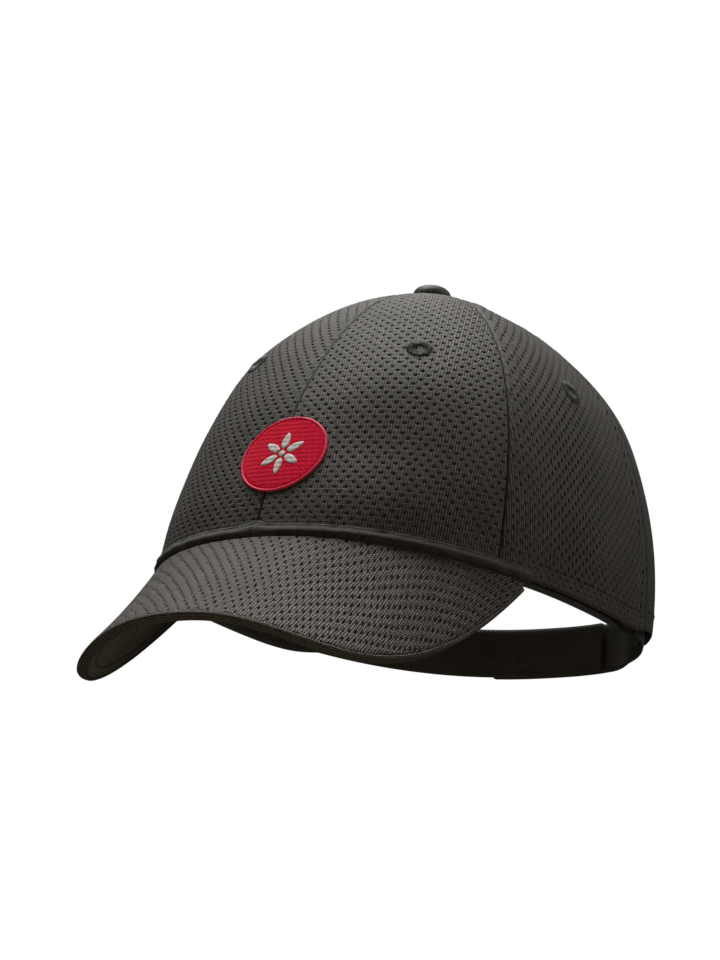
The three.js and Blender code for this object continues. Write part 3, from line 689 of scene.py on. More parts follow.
def mirror(name, source):
    """The wearer's right piece: the left one mirrored, with its own swells."""
    mesh = source.data.copy()
    mesh.name = name
    points = np.empty(len(mesh.vertices) * 3)
    mesh.vertices.foreach_get("co", points)
    points = right_side(points.reshape(-1, 3) * [-1, 1, 1] / MM) * MM
    mesh.vertices.foreach_set("co", points.ravel())
    mesh.flip_normals()
    mesh.update()
    piece = bpy.data.objects.new(name, mesh)
    bpy.context.scene.collection.objects.link(piece)
    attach(piece, "crown")
    return piece


def arch_norm(x, z):
    """Below 1 inside the arched opening, 1 at its edge."""
    height = np.maximum(z - BACK_LIFT, 0)
    across = np.abs(x) / ARCH_HALF_WIDTH
    return (across ** ARCH_POWER + (height / ARCH_HEIGHT) ** ARCH_POWER) ** (1 / ARCH_POWER)


def open_arch(area):
    """Adds the arched opening to the back panel's cloth."""
    plain = dict(area)

    def where(xy):
        angle, rise = area["to_param"](xy)
        point = crown(angle, rise)
        return arch_norm(point[:, 0], point[:, 2])

    def inside(xy):
        return plain["inside"](xy) & (where(xy) > 1)

    def clamp(xy):
        xy = plain["clamp"](xy)
        for _ in range(12):
            short = where(xy)
            move = np.where(short < 1, (1 - short) * 60, 0)
            if move.max() < 0.01:
                break
            step = 0.05
            grad_x = (where(xy + [step, 0]) - where(xy - [step, 0])) / (2 * step)
            grad_y = (where(xy + [0, step]) - where(xy - [0, step])) / (2 * step)
            grad = np.stack([grad_x, grad_y], 1)
            size = np.maximum((grad ** 2).sum(1), 1e-8)
            newton = np.where(short < 1, (1 - short) / size, 0)
            xy = plain["clamp"](xy + grad * np.clip(newton, 0, 1e4)[:, None])
        return xy

    def arch_distance(xy):
        return (where(xy) - 1) * ARCH_RADIUS

    def edge(xy):
        return np.minimum(plain["edge"](xy), arch_distance(xy))

    def groove(xy):
        near = np.clip(1 - arch_distance(xy) / 1.2, 0, 1)
        return plain["groove"](xy) + 0.5 * near ** 2

    area.update(inside=inside, clamp=clamp, edge=edge, groove=groove)
    return area


PANELS = {
    "front": (0.0, FRONT_SIDE_SEAM),
    "side": (FRONT_SIDE_SEAM, SIDE_BACK_SEAM),
    "back": (SIDE_BACK_SEAM, math.pi),
}
AREAS = {}


def ridged(area):
    """The side panel's groove with the ridge that the seam's topstitched allowance makes."""
    plain, far = area["groove"], area["seam_distance"]

    def groove(xy):
        from_seam = far(xy)
        ridge = np.exp(-((from_seam - 6.2) / 1.1) ** 2) - 0.8 * np.exp(-((from_seam - 8.4) / 0.9) ** 2)
        return plain(xy) - 0.38 * ridge * smooth(area["top"] - xy[:, 1], 8, 30)
    return groove


def cut_size(area):
    """The panel's flat width, length and area in metres."""
    width = area["right"] - area["left"]
    up = area["up"]
    flat = float(np.sum((width[1:] + width[:-1]) / 2 * np.diff(up)))
    return (float(width.max()) * MM, float(up[-1]) * MM), flat * MM * MM


def add_panels():
    for place, (first, second) in PANELS.items():
        area = gore_area(first, second, PANEL_TOP, rim_base)
        if place == "back":
            area = open_arch(area)
        AREAS[place] = area
        if place == "side":
            area["groove"] = ridged(area)
        spec = dict(SPECS["front" if place == "front" else "side"], hole=hole_sizes(place, area))
        left = holed_cloth(f"cloth_{place}_left", area, spec, [MESH, HOLE])
        pieces = both_sides(f"cloth_{place}_right", left, "mesh_fabric", f"{place}_panel")
        flat, flat_area = cut_size(area)
        if place == "back":
            flat_area *= BACK_PANEL_KEPT


# ---------- Strips and plates ----------

def loops_uv(piece, values):
    """Cloth coordinates for each face corner, in millimetres."""
    held = piece.data.uv_layers.get("fabric") or piece.data.uv_layers.new(name="fabric")
    held.data.foreach_set("uv", (np.asarray(values) * 0.01).astype(np.float32).ravel())


def sweep(name, rings, material, body="crown", ring_closed=False):
    """A closed strip through rings of points: rings[i, k] with k going round the section."""
    rings = np.asarray(rings, float)
    count, size = rings.shape[:2]
    index = np.arange(count * size).reshape(count, size)
    ends = index if not ring_closed else np.concatenate([index, index[:1]])
    a, b = ends[:-1], ends[1:]
    quads = np.stack([a, b, np.roll(b, -1, 1), np.roll(a, -1, 1)], -1).reshape(-1, 4)
    stations = np.concatenate([rings, rings[:1]]) if ring_closed else rings
    middle = stations.mean(1)
    along = lengths_along(middle)
    loop = np.concatenate([rings[count // 2], rings[count // 2][:1]])
    round_it = lengths_along(loop)
    i, k = np.meshgrid(np.arange(len(a)), np.arange(size), indexing="ij")
    corner = np.stack([
        np.stack([round_it[k], along[i]], -1), np.stack([round_it[k], along[i + 1]], -1),
        np.stack([round_it[k + 1], along[i + 1]], -1), np.stack([round_it[k + 1], along[i]], -1)], 2)
    uv = corner.reshape(-1, 2)
    faces = quads.tolist()
    if not ring_closed:
        faces += [index[0].tolist(), index[-1][::-1].tolist()]
        for at in (0, along[-1]):
            uv = np.concatenate([uv, np.stack([round_it[:size], np.full(size, at)], -1)])
    piece = make_piece(name, rings.reshape(-1, 3), faces, [material], body=body)
    loops_uv(piece, uv)
    return settle_normals(piece)


def ribbon(first, last, outer, inner, count=11, soft=0.3):
    """A flat section with soft edges, as [across, depth] points: outer side, then inner side back."""
    t = np.linspace(0, 1, count)
    thick = inner - outer
    pull = np.where((t == 0) | (t == 1), soft * thick, 0)
    across = mix(first, last, t)
    return np.concatenate([np.stack([across, outer + pull], -1), np.stack([across, inner - pull], -1)[::-1]])


def plate(name, columns, rows, at, outer, inner, material):
    """A closed sheet between two depths over a grid: at(i share, j share, depth)."""
    u, v = np.meshgrid(np.linspace(0, 1, columns), np.linspace(0, 1, rows), indexing="ij")
    border = (u == 0) | (u == 1) | (v == 0) | (v == 1)
    soft = np.where(border, (inner - outer) * 0.25, 0)
    top, low = at(u, v, outer + soft), at(u, v, inner - soft)
    size = columns * rows
    index = np.arange(size).reshape(columns, rows)
    quads = np.stack([index[:-1, :-1], index[1:, :-1], index[1:, 1:], index[:-1, 1:]], -1).reshape(-1, 4)
    faces = quads.tolist() + (quads[:, ::-1] + size).tolist()
    ring = np.concatenate([index[:, 0], index[-1, 1:], index[-2::-1, -1], index[0, -2:0:-1]])
    after = np.roll(ring, -1)
    faces += np.stack([after, ring, ring + size, after + size], -1).tolist()
    x = np.concatenate([np.zeros((1, rows)), np.cumsum(np.linalg.norm(np.diff(top, axis=0), axis=-1), 0)])
    climb = np.linalg.norm(np.diff(top, axis=1), axis=-1)
    y = np.concatenate([np.zeros((columns, 1)), np.cumsum(climb, 1)], 1)
    x = x - x.mean(0, keepdims=True)
    flat = np.stack([x, y], -1).reshape(-1, 2)
    piece = make_piece(name, np.concatenate([top.reshape(-1, 3), low.reshape(-1, 3)]), faces, [material],
                       uv=np.concatenate([flat, flat]))
    return settle_normals(piece, weld=0.005)


def stitches(name, rows, body="crown", pitch=3.0, length=2.3, radius=0.2):
    """Rows of sewing thread. Each row is (points, normals) along its line; every stitch arches over
    the cloth from one needle hole to the next."""
    sides = 6
    stations = np.array([-0.5, -0.42, -0.2, 0, 0.2, 0.42, 0.5])
    lift = np.array([-0.35, 0.12, 0.2, 0.22, 0.2, 0.12, -0.35])
    girth = np.array([0.55, 0.95, 1, 1, 1, 0.95, 0.55])
    points, faces, count = [], [], 0
    for line, normals in rows:
        far = lengths_along(line)
        number = max(1, int(far[-1] / pitch))
        for centre in (np.arange(number) + 0.5) * far[-1] / number:
            spots = np.clip(centre + stations * length, 0, far[-1])
            spine = np.stack([np.interp(spots, far, line[:, c]) for c in range(3)], -1)
            up = unit(np.array([np.interp(centre, far, normals[:, c]) for c in range(3)]))
            side = np.cross(unit(spine[-1] - spine[0]), up)
            spine = spine + up * lift[:, None] * (radius / 0.2)
            points.append(tube(spine, side, up, radius * girth[:, None, None], sides).reshape(-1, 3))
            index = count + np.arange(len(stations) * sides).reshape(-1, sides)
            faces += tube_faces(index)
            count += index.size
    points = np.concatenate(points)
    uv = np.stack([points[:, 0] + points[:, 1], points[:, 2]], -1)
    piece = make_piece(name, points, faces, [THREAD], uv=uv, body=body)
    return settle_normals(piece)


def stand_for(piece, slot, *nodes):
    if nodes:
        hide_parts(*nodes)
    return piece


def both_sides(name, left, slot, node):
    """Hides the CAD parts that the left piece and its mirrored twin replace, and makes the twin."""
    stand_for(left, slot, f"{node}_left")
    right = stand_for(mirror(name, left), slot, f"{node}_right")
    return left, right


# ---------- Inside the crown ----------

def add_buckram():
    def at(u, v, depth):
        angle = mix(0.004, FRONT_SIDE_SEAM - 0.004, u)
        return crown(angle, mix(rise_over_rim(angle, 1.0), 0.9, v), depth)
    left = plate("buckram_left", 34, 46, at, 1.5, 2.1, BUCKRAM)
    for piece in both_sides("buckram_right", left, "buckram", "front_buckram"):
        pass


def seam_start(label, seam, over_rim, over_arch):
    """The rise at which what lies on a seam starts: over the rim, or over the arched opening."""
    low = BACK_LIFT + ARCH_HEIGHT + over_arch if label == "back" else rim_height(np.array(seam)) + over_rim
    return float(rise_at(np.array(seam), low))


def tape_rings(seam, start, outer, inner, count=64):
    section = ribbon(-TAPE_HALF_WIDTH, TAPE_HALF_WIDTH, outer, inner, count=15)
    dent = 0.18 * np.exp(-((np.abs(section[:, 0]) - TAPE_STITCH) / 0.5) ** 2)
    dent = dent * (section[:, 1] > (outer + inner) / 2)
    top = 0.988
    rises = np.linspace(start, top, count)
    points = crown(np.full(count, seam), rises, inner)
    radius = np.hypot(points[:, 0], points[:, 1] - APEX_Y)
    half = np.minimum(TAPE_HALF_WIDTH, radius * TAPE_WEDGE)
    across = seam + section[None, :, 0] / TAPE_HALF_WIDTH * (half / radius)[:, None]
    return crown(across, rises[:, None], (section[:, 1] - dent)[None, :])


def tape_rows(seam, start, inner):
    rises = np.linspace(start + 0.01, 0.9, 80)
    rows = []
    for side in (-1, 1):
        base = crown(np.full(80, seam), rises, inner)
        radius = np.hypot(base[:, 0], base[:, 1] - APEX_Y)
        half = np.minimum(TAPE_STITCH, radius * TAPE_WEDGE * 0.7)
        angle = seam + side * half / radius
        rows.append(crown_row(angle, rises, inner, inside=True))
    return rows


def add_tapes():
    rows = []
    for label, seam in SEAMS.items():
        start = seam_start(label, seam, 1.2, ARCH_TAPE_WIDTH + 1.0)
        outer, inner = (2.6, 3.2) if label.startswith("front") else (1.5, 2.1)
        tape = sweep(f"tape_{label}", tape_rings(seam, start, outer, inner), TAPE)
        stand_for(tape, "seam_tape", f"seam_tape_{label}")
        rows += tape_rows(seam, start, inner)
    stitches("tape_stitches", rows, pitch=3.4, length=2.5)


def add_seam_shade_cords():
    """A near-black cord laid in each seam between two panels: painted shade for the seam's groove."""
    count = 200
    for label, seam in SEAMS.items():
        rises = np.linspace(seam_start(label, seam, 0.9, 0.7), 0.97, count)
        line, out = crown_row(np.full(count, seam), rises, SEAM_SHADE_DEPTH)
        side = unit(np.cross(unit(np.gradient(line, axis=0)), out))
        rings = tube(line, side[:, None], out[:, None], SEAM_SHADE_RADIUS, 8)
        stand_for(sweep(f"seam_shade_cord_{label}", rings, SEAM_SHADE), "eyelet_thread")


def arch_path(out, count, first=0.0, last=math.pi):
    """Angles and heights along the arched opening, a distance outside its edge."""
    turn = np.linspace(first, last, count)
    across, power = np.cos(turn), 2 / ARCH_POWER
    x = (ARCH_HALF_WIDTH + out) * np.sign(across) * np.abs(across) ** power
    height = BACK_LIFT + (ARCH_HEIGHT + out) * np.abs(np.sin(turn)) ** power
    return angle_at(x, height, mix(140 * DEGREE, 220 * DEGREE, turn / math.pi)), height


def add_arch_tape():
    section = ribbon(0.25, ARCH_TAPE_WIDTH + 0.9, 1.5, 2.1, count=9)
    rings = []
    for out, depth in section:
        angle, height = arch_path(out, 97)
        rings.append(crown(angle, rise_at(angle, height), depth))
    tape = sweep("tape_arch", np.stack(rings, 1), TAPE)
    stand_for(tape, "seam_tape", "arch_opening_tape")
    rows = []
    for out in (1.6, 8.8):
        angle, height = arch_path(out, 160, 0.04, math.pi - 0.04)
        rows.append(crown_row(angle, rise_at(angle, height), 2.1, inside=True))
    stitches("arch_tape_stitches", rows)


def sweat_inner(height):
    """Depth of the sweatband's padded face at a height above the rim."""
    t = np.clip((height + 0.5) / (SWEAT_SEAM + 0.5), 0, 1)
    return float(5.25 + 1.5 * np.sin(math.pi * t ** 0.8) ** 0.6 + np.where(height > SWEAT_SEAM, 0.25, 0))


def sweat_row(angles, height, lift):
    """A line on the sweatband's face, moved by lift into the band, and the way stitches stand there."""
    line = layer(angles, rim_height(angles) + height, sweat_inner(height) + lift)
    return line, -crown_normal(angles, rise_over_rim(angles, height))


def add_sweatband():
    count = 220
    angles = np.linspace(-SWEAT_END, SWEAT_END, count)
    heights = np.array([0.6, 2, 6, 12, 18, 24, 28, 31, SWEAT_TOP])
    inner = np.array([SWEAT_TOP, 31, 29.6, 28.9, 28.4, 27.6, 26, 23, 19, 15, 11, 7.5, 4.5, 2.2, 0.6, -0.4])
    hug = 1 - smooth(np.abs(angles), 100 * DEGREE, 112 * DEGREE)
    pucker = 0.12 * np.sin(angles * 95) + 0.1 * np.sin(angles * 57 + 1.3) + 0.12 * np.sin(angles * 23 + 0.4)
    section = [(height, 4.1 if height < SWEAT_TOP else 4.5) for height in heights]
    for height in inner:
        near = min(1.0, max(0.0, (SWEAT_SEAM - height) / 4)) if height > 0 else 0.3
        section.append((height, sweat_inner(height) + pucker * near))
    for height, depth in SWEATBAND_FOLD:
        section.append((height, np.where(depth < 4.1, mix(4.15, depth, hug), depth)))
    rim = rim_height(angles)
    rings = np.stack([layer(angles, rim + height, depth) for height, depth in section], 1)
    band = sweep("sweatband_pad", rings, SWEAT)
    stand_for(band, "sweatband_fabric", "sweatband")
    fine = np.linspace(-SWEAT_END + 0.01, SWEAT_END - 0.01, 500)
    stitches("sweatband_stitches", [sweat_row(fine, height, 0.05) for height in (28.75, 30.9)])


def add_label():
    count = 26
    angles = np.linspace(121 * DEGREE, 133 * DEGREE, count)
    heights = np.linspace(4, 26, 16)
    curl = 0.5 * smooth(-heights, -10, -3) ** 2
    face, back = [], []
    for height, bend in zip(heights, curl):
        depth = sweat_inner(height) + 0.3 + bend
        face.append(layer(angles, rim_height(angles) + height, depth + 0.35))
        back.append(layer(angles, rim_height(angles) + height, depth))
    rings = np.stack(face + back[::-1], 1)
    tag = sweep("blank_label", rings, LABEL)
    stand_for(tag, "label_satin", "care_label")
    spots = np.linspace(121.3 * DEGREE, 132.7 * DEGREE, 40)
    stitches("label_stitches", [sweat_row(spots, 24.8, 0.67)], pitch=2.2, length=1.6, radius=0.13)


# ---------- Visor ----------


def visor_slopes(u, v):
    """Points of the ruled sheet, its slopes along u and v, and how much plan area a unit of each spans."""
    step = 1e-4
    here = visor_sheet(u, v)
    du = (visor_sheet(u + step, v) - here) / step
    dv = (visor_sheet(u, v + step) - here) / step
    return here, du, dv, du[:, 0] * dv[:, 1] - du[:, 1] * dv[:, 0]


def visor_param(xy):
    """(across, out) of plan points, by Newton's method on the ruled sheet."""
    u = np.clip(2 / math.pi * np.arcsin(np.clip(xy[:, 0] / 84.0, -1, 1)), -0.97, 0.97)
    v = np.full(len(xy), 0.5)
    for _ in range(25):
        here, du, dv, det = visor_slopes(u, v)
        gap = xy - here[:, :2]
        det = np.where(np.abs(det) < 1e-6, 1e-6, det)
        across = (gap[:, 0] * dv[:, 1] - gap[:, 1] * dv[:, 0]) / det
        out = (du[:, 0] * gap[:, 1] - du[:, 1] * gap[:, 0]) / det
        u = np.clip(u + np.clip(across, -0.2, 0.2), -0.9995, 0.9995)
        v = np.clip(v + np.clip(out, -0.5, 0.5), -0.4, 1.4)
    return u, v


def visor_area():
    """The visor's top cloth: straight grain from front to back, its width measured over the arch."""
    x = np.linspace(0, 90, 451)
    y = np.linspace(-142, -26, 117)
    grid_x, grid_y = np.meshgrid(x, y)
    plan = np.stack([grid_x.ravel(), grid_y.ravel()], -1)
    u, v = visor_param(plan)
    near, du, dv, det = visor_slopes(u, v)
    slope = (du[:, 2] * dv[:, 1] - du[:, 1] * dv[:, 2]) / np.where(np.abs(det) < 1, 1, det)
    plain = VISOR_ARCH_DEPTH * VISOR_ARCH_POWER / VISOR_ARCH_HALF_WIDTH \
        * (plan[:, 0] / VISOR_ARCH_HALF_WIDTH) ** (VISOR_ARCH_POWER - 1)
    on_sheet = (np.abs(near[:, :2] - plan).max(1) < 0.3) & (v > -0.02) & (v < 1.02)
    steep = np.hypot(1, np.where(on_sheet, np.clip(np.abs(slope), 0, 5), np.clip(plain, 0, 2.2)))
    steep = steep.reshape(grid_x.shape)
    strips = (steep[:, 1:] + steep[:, :-1]) / 2 * np.diff(x)
    width = np.concatenate([np.zeros((len(y), 1)), np.cumsum(strips, 1)], 1)
    stretch = math.hypot(1, 0.8 * VISOR_SLOPE)

    def rows_at(plan_y):
        return blend_rows(width, (plan_y - y[0]) / (y[1] - y[0]))

    def to_plan(xy):
        plan_y = -xy[:, 1] / stretch
        across = look_up(rows_at(plan_y), x, np.abs(xy[:, 0]), 0, 1.5)
        return np.stack([np.sign(xy[:, 0]) * across, plan_y], -1)

    def to_cloth(points):
        table = rows_at(points[:, 1])
        at = np.clip(np.abs(points[:, 0]) / (x[1] - x[0]), 0, len(x) - 1.001)
        low = at.astype(int)
        here = np.arange(len(points))
        far = table[here, low] * (1 - (at - low)) + table[here, low + 1] * (at - low)
        return np.stack([np.sign(points[:, 0]) * far, -points[:, 1] * stretch], -1)

    def inside(xy):
        u, v = visor_param(to_plan(xy))
        near = np.abs(visor_sheet(u, v)[:, :2] - to_plan(xy)).max(1) < 0.5
        return near & (np.abs(u) < VISOR_SPAN) & (v > 0) & (v < 1)

    def clamp(xy):
        u, v = visor_param(to_plan(xy))
        u, v = np.clip(u, -VISOR_SPAN, VISOR_SPAN), np.clip(v, 0, 1)
        return to_cloth(visor_sheet(u, v)[:, :2])

    def edge(xy):
        u, v = visor_param(to_plan(xy))
        length = np.linalg.norm(visor_sheet(u, np.ones_like(v)) - visor_sheet(u, np.zeros_like(v)), axis=-1)
        return np.minimum(np.minimum(v, 1 - v) * length, (VISOR_SPAN - np.abs(u)) * VISOR_HALF_ARC)

    def groove(xy):
        return 0.45 * np.clip(1 - edge(xy) / 1.2, 0, 1) ** 2

    def place(xy, depth):
        u, v = visor_param(to_plan(xy))
        return visor(u, np.clip(v, 0, 1), depth)

    return {"box": ((-width.max(), width.max()), (26 * stretch, 141 * stretch)), "inside": inside,
            "clamp": clamp, "edge": edge, "groove": groove, "place": place}


def add_visor():
    area = visor_area()
    spec = {"pitch": 4.6, "row": 2.3, "corner": 0.6, "deep": 0.55, "margin": 1.0, "thick": 0.9,
            "hole": lambda xy: [np.full(len(xy), half) for half in VISOR_HOLE]}
    top = holed_cloth("visor_cloth", area, spec, [LIT_MESH_VISOR, HOLE])
    stand_for(top, "mesh_fabric", "visor_top_cover")

    def at(u, v, depth):
        return visor(mix(-VISOR_SPAN, VISOR_SPAN, u), v, depth)
    core = plate("visor_core", 120, 20, at, 1.2, 2.8, BOARD)
    stand_for(core, "visor_board", "visor_board")
    under = plate("visor_lining", 150, 40, at, 3.1, 4.0, UNDER)
    stand_for(under, "mesh_fabric", "visor_under_cover")
    across = np.linspace(-0.975, 0.975, 700)
    full = np.linalg.norm(visor_sheet(across, 1.0) - visor_sheet(across, 0.0), axis=-1)
    out = 1 - 6.0 / np.maximum(full, 8)
    row = (visor(across, out, 4.0), normal_of(visor_sheet, across, out))
    stitches("visor_stitches", [row], pitch=2.6, length=2.0, radius=0.18)


def add_visor_edge():
    count = 240
    across = mix(-VISOR_SPAN, VISOR_SPAN, np.linspace(0, 1, count))
    step = 1e-3
    along = unit(visor_sheet(across + step, 1.0) - visor_sheet(across - step, 1.0))
    up = -normal_of(visor_sheet, across, np.ones(count))
    out = unit(np.cross(along, up))
    edge = visor_sheet(across, 1.0)
    rings = np.stack([edge + out * a - up * d for a, d in VISOR_EDGE_SECTION], 1)
    stand_for(sweep("visor_edge_cloth", rings, BINDING), "edge_binding", "visor_edge_binding")


def add_seam_roll():
    count = 260
    angles = np.linspace(-VISOR_END, VISOR_END, count)
    crease = 0.14 * np.sin(angles * 61) + 0.12 * np.sin(angles * 37 + 2)
    peak = 1.5 * np.exp(-(angles / 0.05) ** 2)
    join = 0.55 * np.exp(-(angles / 0.009) ** 2)
    rings = []
    for height, depth in SEAM_ROLL_SECTION:
        lifted = rim_height(angles) + height + peak * min(max(height / 4, 0), 1)
        rings.append(layer(angles, lifted, depth - (crease - join if depth < -0.5 else 0)))
    rings = np.stack(rings, 1)
    stand_for(sweep("visor_seam_roll_cloth", rings, ROLL), "mesh_fabric", "visor_seam_roll")


# ---------- Back straps ----------

def hook_depth(angle):
    return mix(STRAP_DEPTH, HOOK_STRAP_OUTSIDE, smooth(angle, *HOOK_CROSSING))


def loop_depth(angle):
    return STRAP_DEPTH + 0 * angle


def strap_normal(angle, height):
    return crown_normal(angle, rise_at(angle, np.maximum(height, rim_height(angle) + 0.2)))


def strap_piece(name, side, last, depth, body, nodes):
    """A strap with its sewn end as one cloth. side 1 is the wearer's left."""
    count = 130
    angles = np.linspace(ANCHOR_START, last, count)
    section = ribbon(STRAP_BOTTOM, STRAP_TOP, 0, STRAP_THICKNESS, count=17)
    inset = np.abs(section[:, 0] - STRAP_MIDDLE) - 8.3
    dent = 0.14 * np.exp(-(inset / 0.4) ** 2)
    rounded = 1.2 * np.clip(1 - (last - angles) / (1.2 * DEGREE), 0, 1) ** 2
    rings = []
    for (height, d), pull in zip(section, dent):
        towards = np.sign(STRAP_MIDDLE - height)
        sunk = depth(angles) + d + (pull if d < STRAP_THICKNESS / 2 else -pull)
        rings.append(layer(angles, height + towards * rounded, sunk))
    rings = np.stack(rings, 1)
    rings[..., 0] *= side
    piece = sweep(name, rings, STRAP, body=None)
    stand_for(piece, "strap_webbing", *nodes)
    face = STRAP_DEPTH if side > 0 else STRAP_DEPTH + STRAP_THICKNESS
    hinge = layer(np.array(STRAP_HINGE), STRAP_MIDDLE, face)
    ahead = layer(np.array(STRAP_HINGE + 0.02), STRAP_MIDDLE, face)
    along = unit(ahead - hinge)
    start, end = hinge - along * STRAP_BEND, hinge + along * STRAP_BEND
    start[0] *= side
    end[0] *= side
    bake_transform(piece)
    middle = layer(angles, STRAP_MIDDLE, depth(angles))
    rows = []
    fine = np.linspace(STRAP_HINGE + 3 * DEGREE, last - 0.8 * DEGREE, 200)
    tall = np.linspace(*STRAP_STITCH_ROWS, 40)
    tip = np.full(40, last - 1.3 * DEGREE)
    for angle, height in [(fine, level) for level in STRAP_STITCH_ROWS] + [(tip, tall)]:
        line = layer(angle, height, depth(angle) + 0.05)
        normal = strap_normal(angle, height)
        line[:, 0] *= side
        normal[:, 0] *= side
        rows.append((line, normal))
    stitches(f"{name}_stitches", rows, body=body, pitch=2.6, length=2.0, radius=0.17)


def patch_piece(name, base, tip, material, body, node, slot, hooks):
    """A fastener patch: its backing tape between two depths, with rows of nylon hooks or looped pile
    standing on it as far as the depth tip."""
    section = ribbon(3.5, 20.5, min(base), max(base), count=9)
    angles = np.linspace(PATCH_START, PATCH_END, 60)
    rings = np.stack([layer(angles, h, d) for h, d in section], 1)
    back = sweep(name, rings, material, body=body)
    stand_for(back, slot, node)
    face = base[1]
    points, faces, count = [], [], 0
    rng = np.random.default_rng(7 + int(hooks))
    pitch = 1.35
    arc = np.linspace(PATCH_START + 0.008, PATCH_END - 0.008, int((PATCH_END - PATCH_START) * 98 / pitch))
    for a in arc:
        for height in np.arange(4.3, 19.9, pitch):
            spot_a, spot_h = a + rng.normal(0, 0.0012), height + rng.normal(0, 0.12)
            foot = layer(np.array(spot_a), spot_h, face)
            out = strap_normal(np.array(spot_a), np.array(spot_h)) * (1 if tip < face else -1)
            tall = abs(tip - face)
            lean = np.array([0, 0, 1.0]) if hooks else unit(rng.normal(size=3))
            t = np.linspace(0, 1, 6)
            if hooks:
                rise, reach, thick = tall * np.sin(t * 2.2), 0.42 * (1 - np.cos(t * 2.6)) / 1.6, 0.13
            else:
                rise, reach, thick = tall * np.sin(t * math.pi), 0.55 * (t - 0.5), 0.09
            curve = foot + out * rise[:, None] + lean * reach[:, None]
            along = unit(np.gradient(curve, axis=0))
            across = unit(np.cross(along, np.array([1.0, 0.3, 0.2])))
            third = np.cross(along, across)
            points.append(tube(curve, across[:, None], third[:, None], thick, 5).reshape(-1, 3))
            faces += tube_faces(count + np.arange(30).reshape(6, 5))
            count += 30
    points = np.concatenate(points)
    pile = make_piece(f"{name}_pile", points, faces, [material], uv=points[:, [0, 2]], body=body)
    settle_normals(pile)


def add_straps():
    strap_piece("hook_strap_cloth", 1, HOOK_STRAP_END, hook_depth, "hook_strap",
                ["hook_strap_sewn_end", "hook_strap"])
    strap_piece("loop_strap_cloth", -1, LOOP_STRAP_END, loop_depth, "loop_strap",
                ["loop_strap_sewn_end", "loop_strap"])
    patch_piece("hook_tape_patch", (0.55, 0.95), 1.45, HOOKS, "hook_strap", "hook_patch", "hook_tape", True)
    patch_piece("loop_tape_patch", (2.6, 2.2), 1.75, LOOPS, "loop_strap", "loop_patch", "loop_tape", False)


# ---------- Button, eyelets, emblem ----------

def add_button():
    rings_at = []
    count, radius, height = 72, BUTTON_RADIUS, BUTTON_HEIGHT
    turn = np.arange(count) * 2 * math.pi / count
    base = CROWN_HEIGHT + 0.25
    profile = []
    for a in np.linspace(0, 1, 15) * math.pi / 2:
        profile.append((radius * math.sin(a) ** (2 / 2.5), height * max(math.cos(a), 0) ** (2 / 3.0)))
    outer = profile[1:]
    tuck = [(radius - 0.15, -0.25), (radius - 0.9, -0.3), (radius - 0.9, 0.6)]
    inner = [(r * 0.86, h - BUTTON_SKIN) for r, h in profile[::-1][2:-1]]
    for r, h in outer + tuck + inner:
        low = np.clip((2.6 - h) / 2.6, 0, 1) * (r > radius - 1)
        pleat = 0.10 * np.cos(18 * turn + 0.6 * np.sin(3 * turn)) * low
        drape = 0.12 * np.cos(2 * turn + 0.5) * (r / radius) ** 2
        rr = r + pleat
        rings_at.append(np.stack([rr * np.cos(turn), APEX_Y + rr * np.sin(turn), base + h + drape * 0.5], -1))
    points = np.concatenate([np.array([[0, APEX_Y, base + height]]), *rings_at,
                             np.array([[0, APEX_Y, base + height - BUTTON_SKIN]])])
    faces = [[0, 1 + i, 1 + (i + 1) % count] for i in range(count)]
    for ring in range(len(rings_at) - 1):
        low, high = 1 + ring * count, 1 + (ring + 1) * count
        faces += [[low + i, high + i, high + (i + 1) % count, low + (i + 1) % count] for i in range(count)]
    last, low = len(points) - 1, 1 + (len(rings_at) - 1) * count
    faces += [[last, low + (i + 1) % count, low + i] for i in range(count)]
    uv = points[:, :2] + 0.3 * points[:, 2:]
    cover = settle_normals(make_piece("button_cloth", points, faces, [BUTTON], uv=uv))
    stand_for(cover, "button_fabric", "button_cover")


def seat(angle, rise):
    step = 1e-3
    origin = crown(angle, rise)
    along = unit(crown(angle + step, rise) - crown(angle - step, rise))
    up = unit(crown(angle, rise + step) - crown(angle, rise - step))
    out = unit(np.cross(along, up))
    return origin, along, np.cross(out, along), out


def add_eyelets():
    """Rings of radial thread sewn over each vent hole."""
    count = 288
    threads = 48
    turn = np.arange(count) * 2 * math.pi / count
    rng = np.random.default_rng(11)
    ends = np.repeat(rng.normal(0, 0.16, threads), count // threads)
    crest = np.abs(np.cos(turn * threads / 2))
    for place, (degrees, rise) in EYELETS.items():
        origin, along, up, out = (np.asarray(v) for v in seat(np.array(degrees * DEGREE), np.array(rise)))
        rings = []
        for radius, height, loose in EYELET_PROFILE:
            r = radius + ends * loose
            lift = height + np.where(height > 0, 0.2 * (crest - 0.5), 0) - r ** 2 / 170
            rings.append(origin + (r * np.cos(turn))[:, None] * along + (r * np.sin(turn))[:, None] * up
                         + lift[:, None] * out)
        ring = sweep(f"eyelet_ring_{place}_left", np.stack(rings, 1), EYELET, ring_closed=True)
        both_sides(f"eyelet_ring_{place}_right", ring, "eyelet_thread", f"eyelet_{place}")


def emblem_at(x, z, depth):
    """A point of the badge: x and z measured on the front from the badge's middle."""
    x, z = np.broadcast_arrays(np.asarray(x, float), np.asarray(z, float))
    height = EMBLEM_Z + z * 0.955
    angle = angle_at(EMBLEM_X + x, height, (EMBLEM_X + x) / 90)
    rise = rise_at(angle, height)
    return crown(angle, rise) - crown_normal(angle, rise) * np.asarray(depth, float)[..., None]


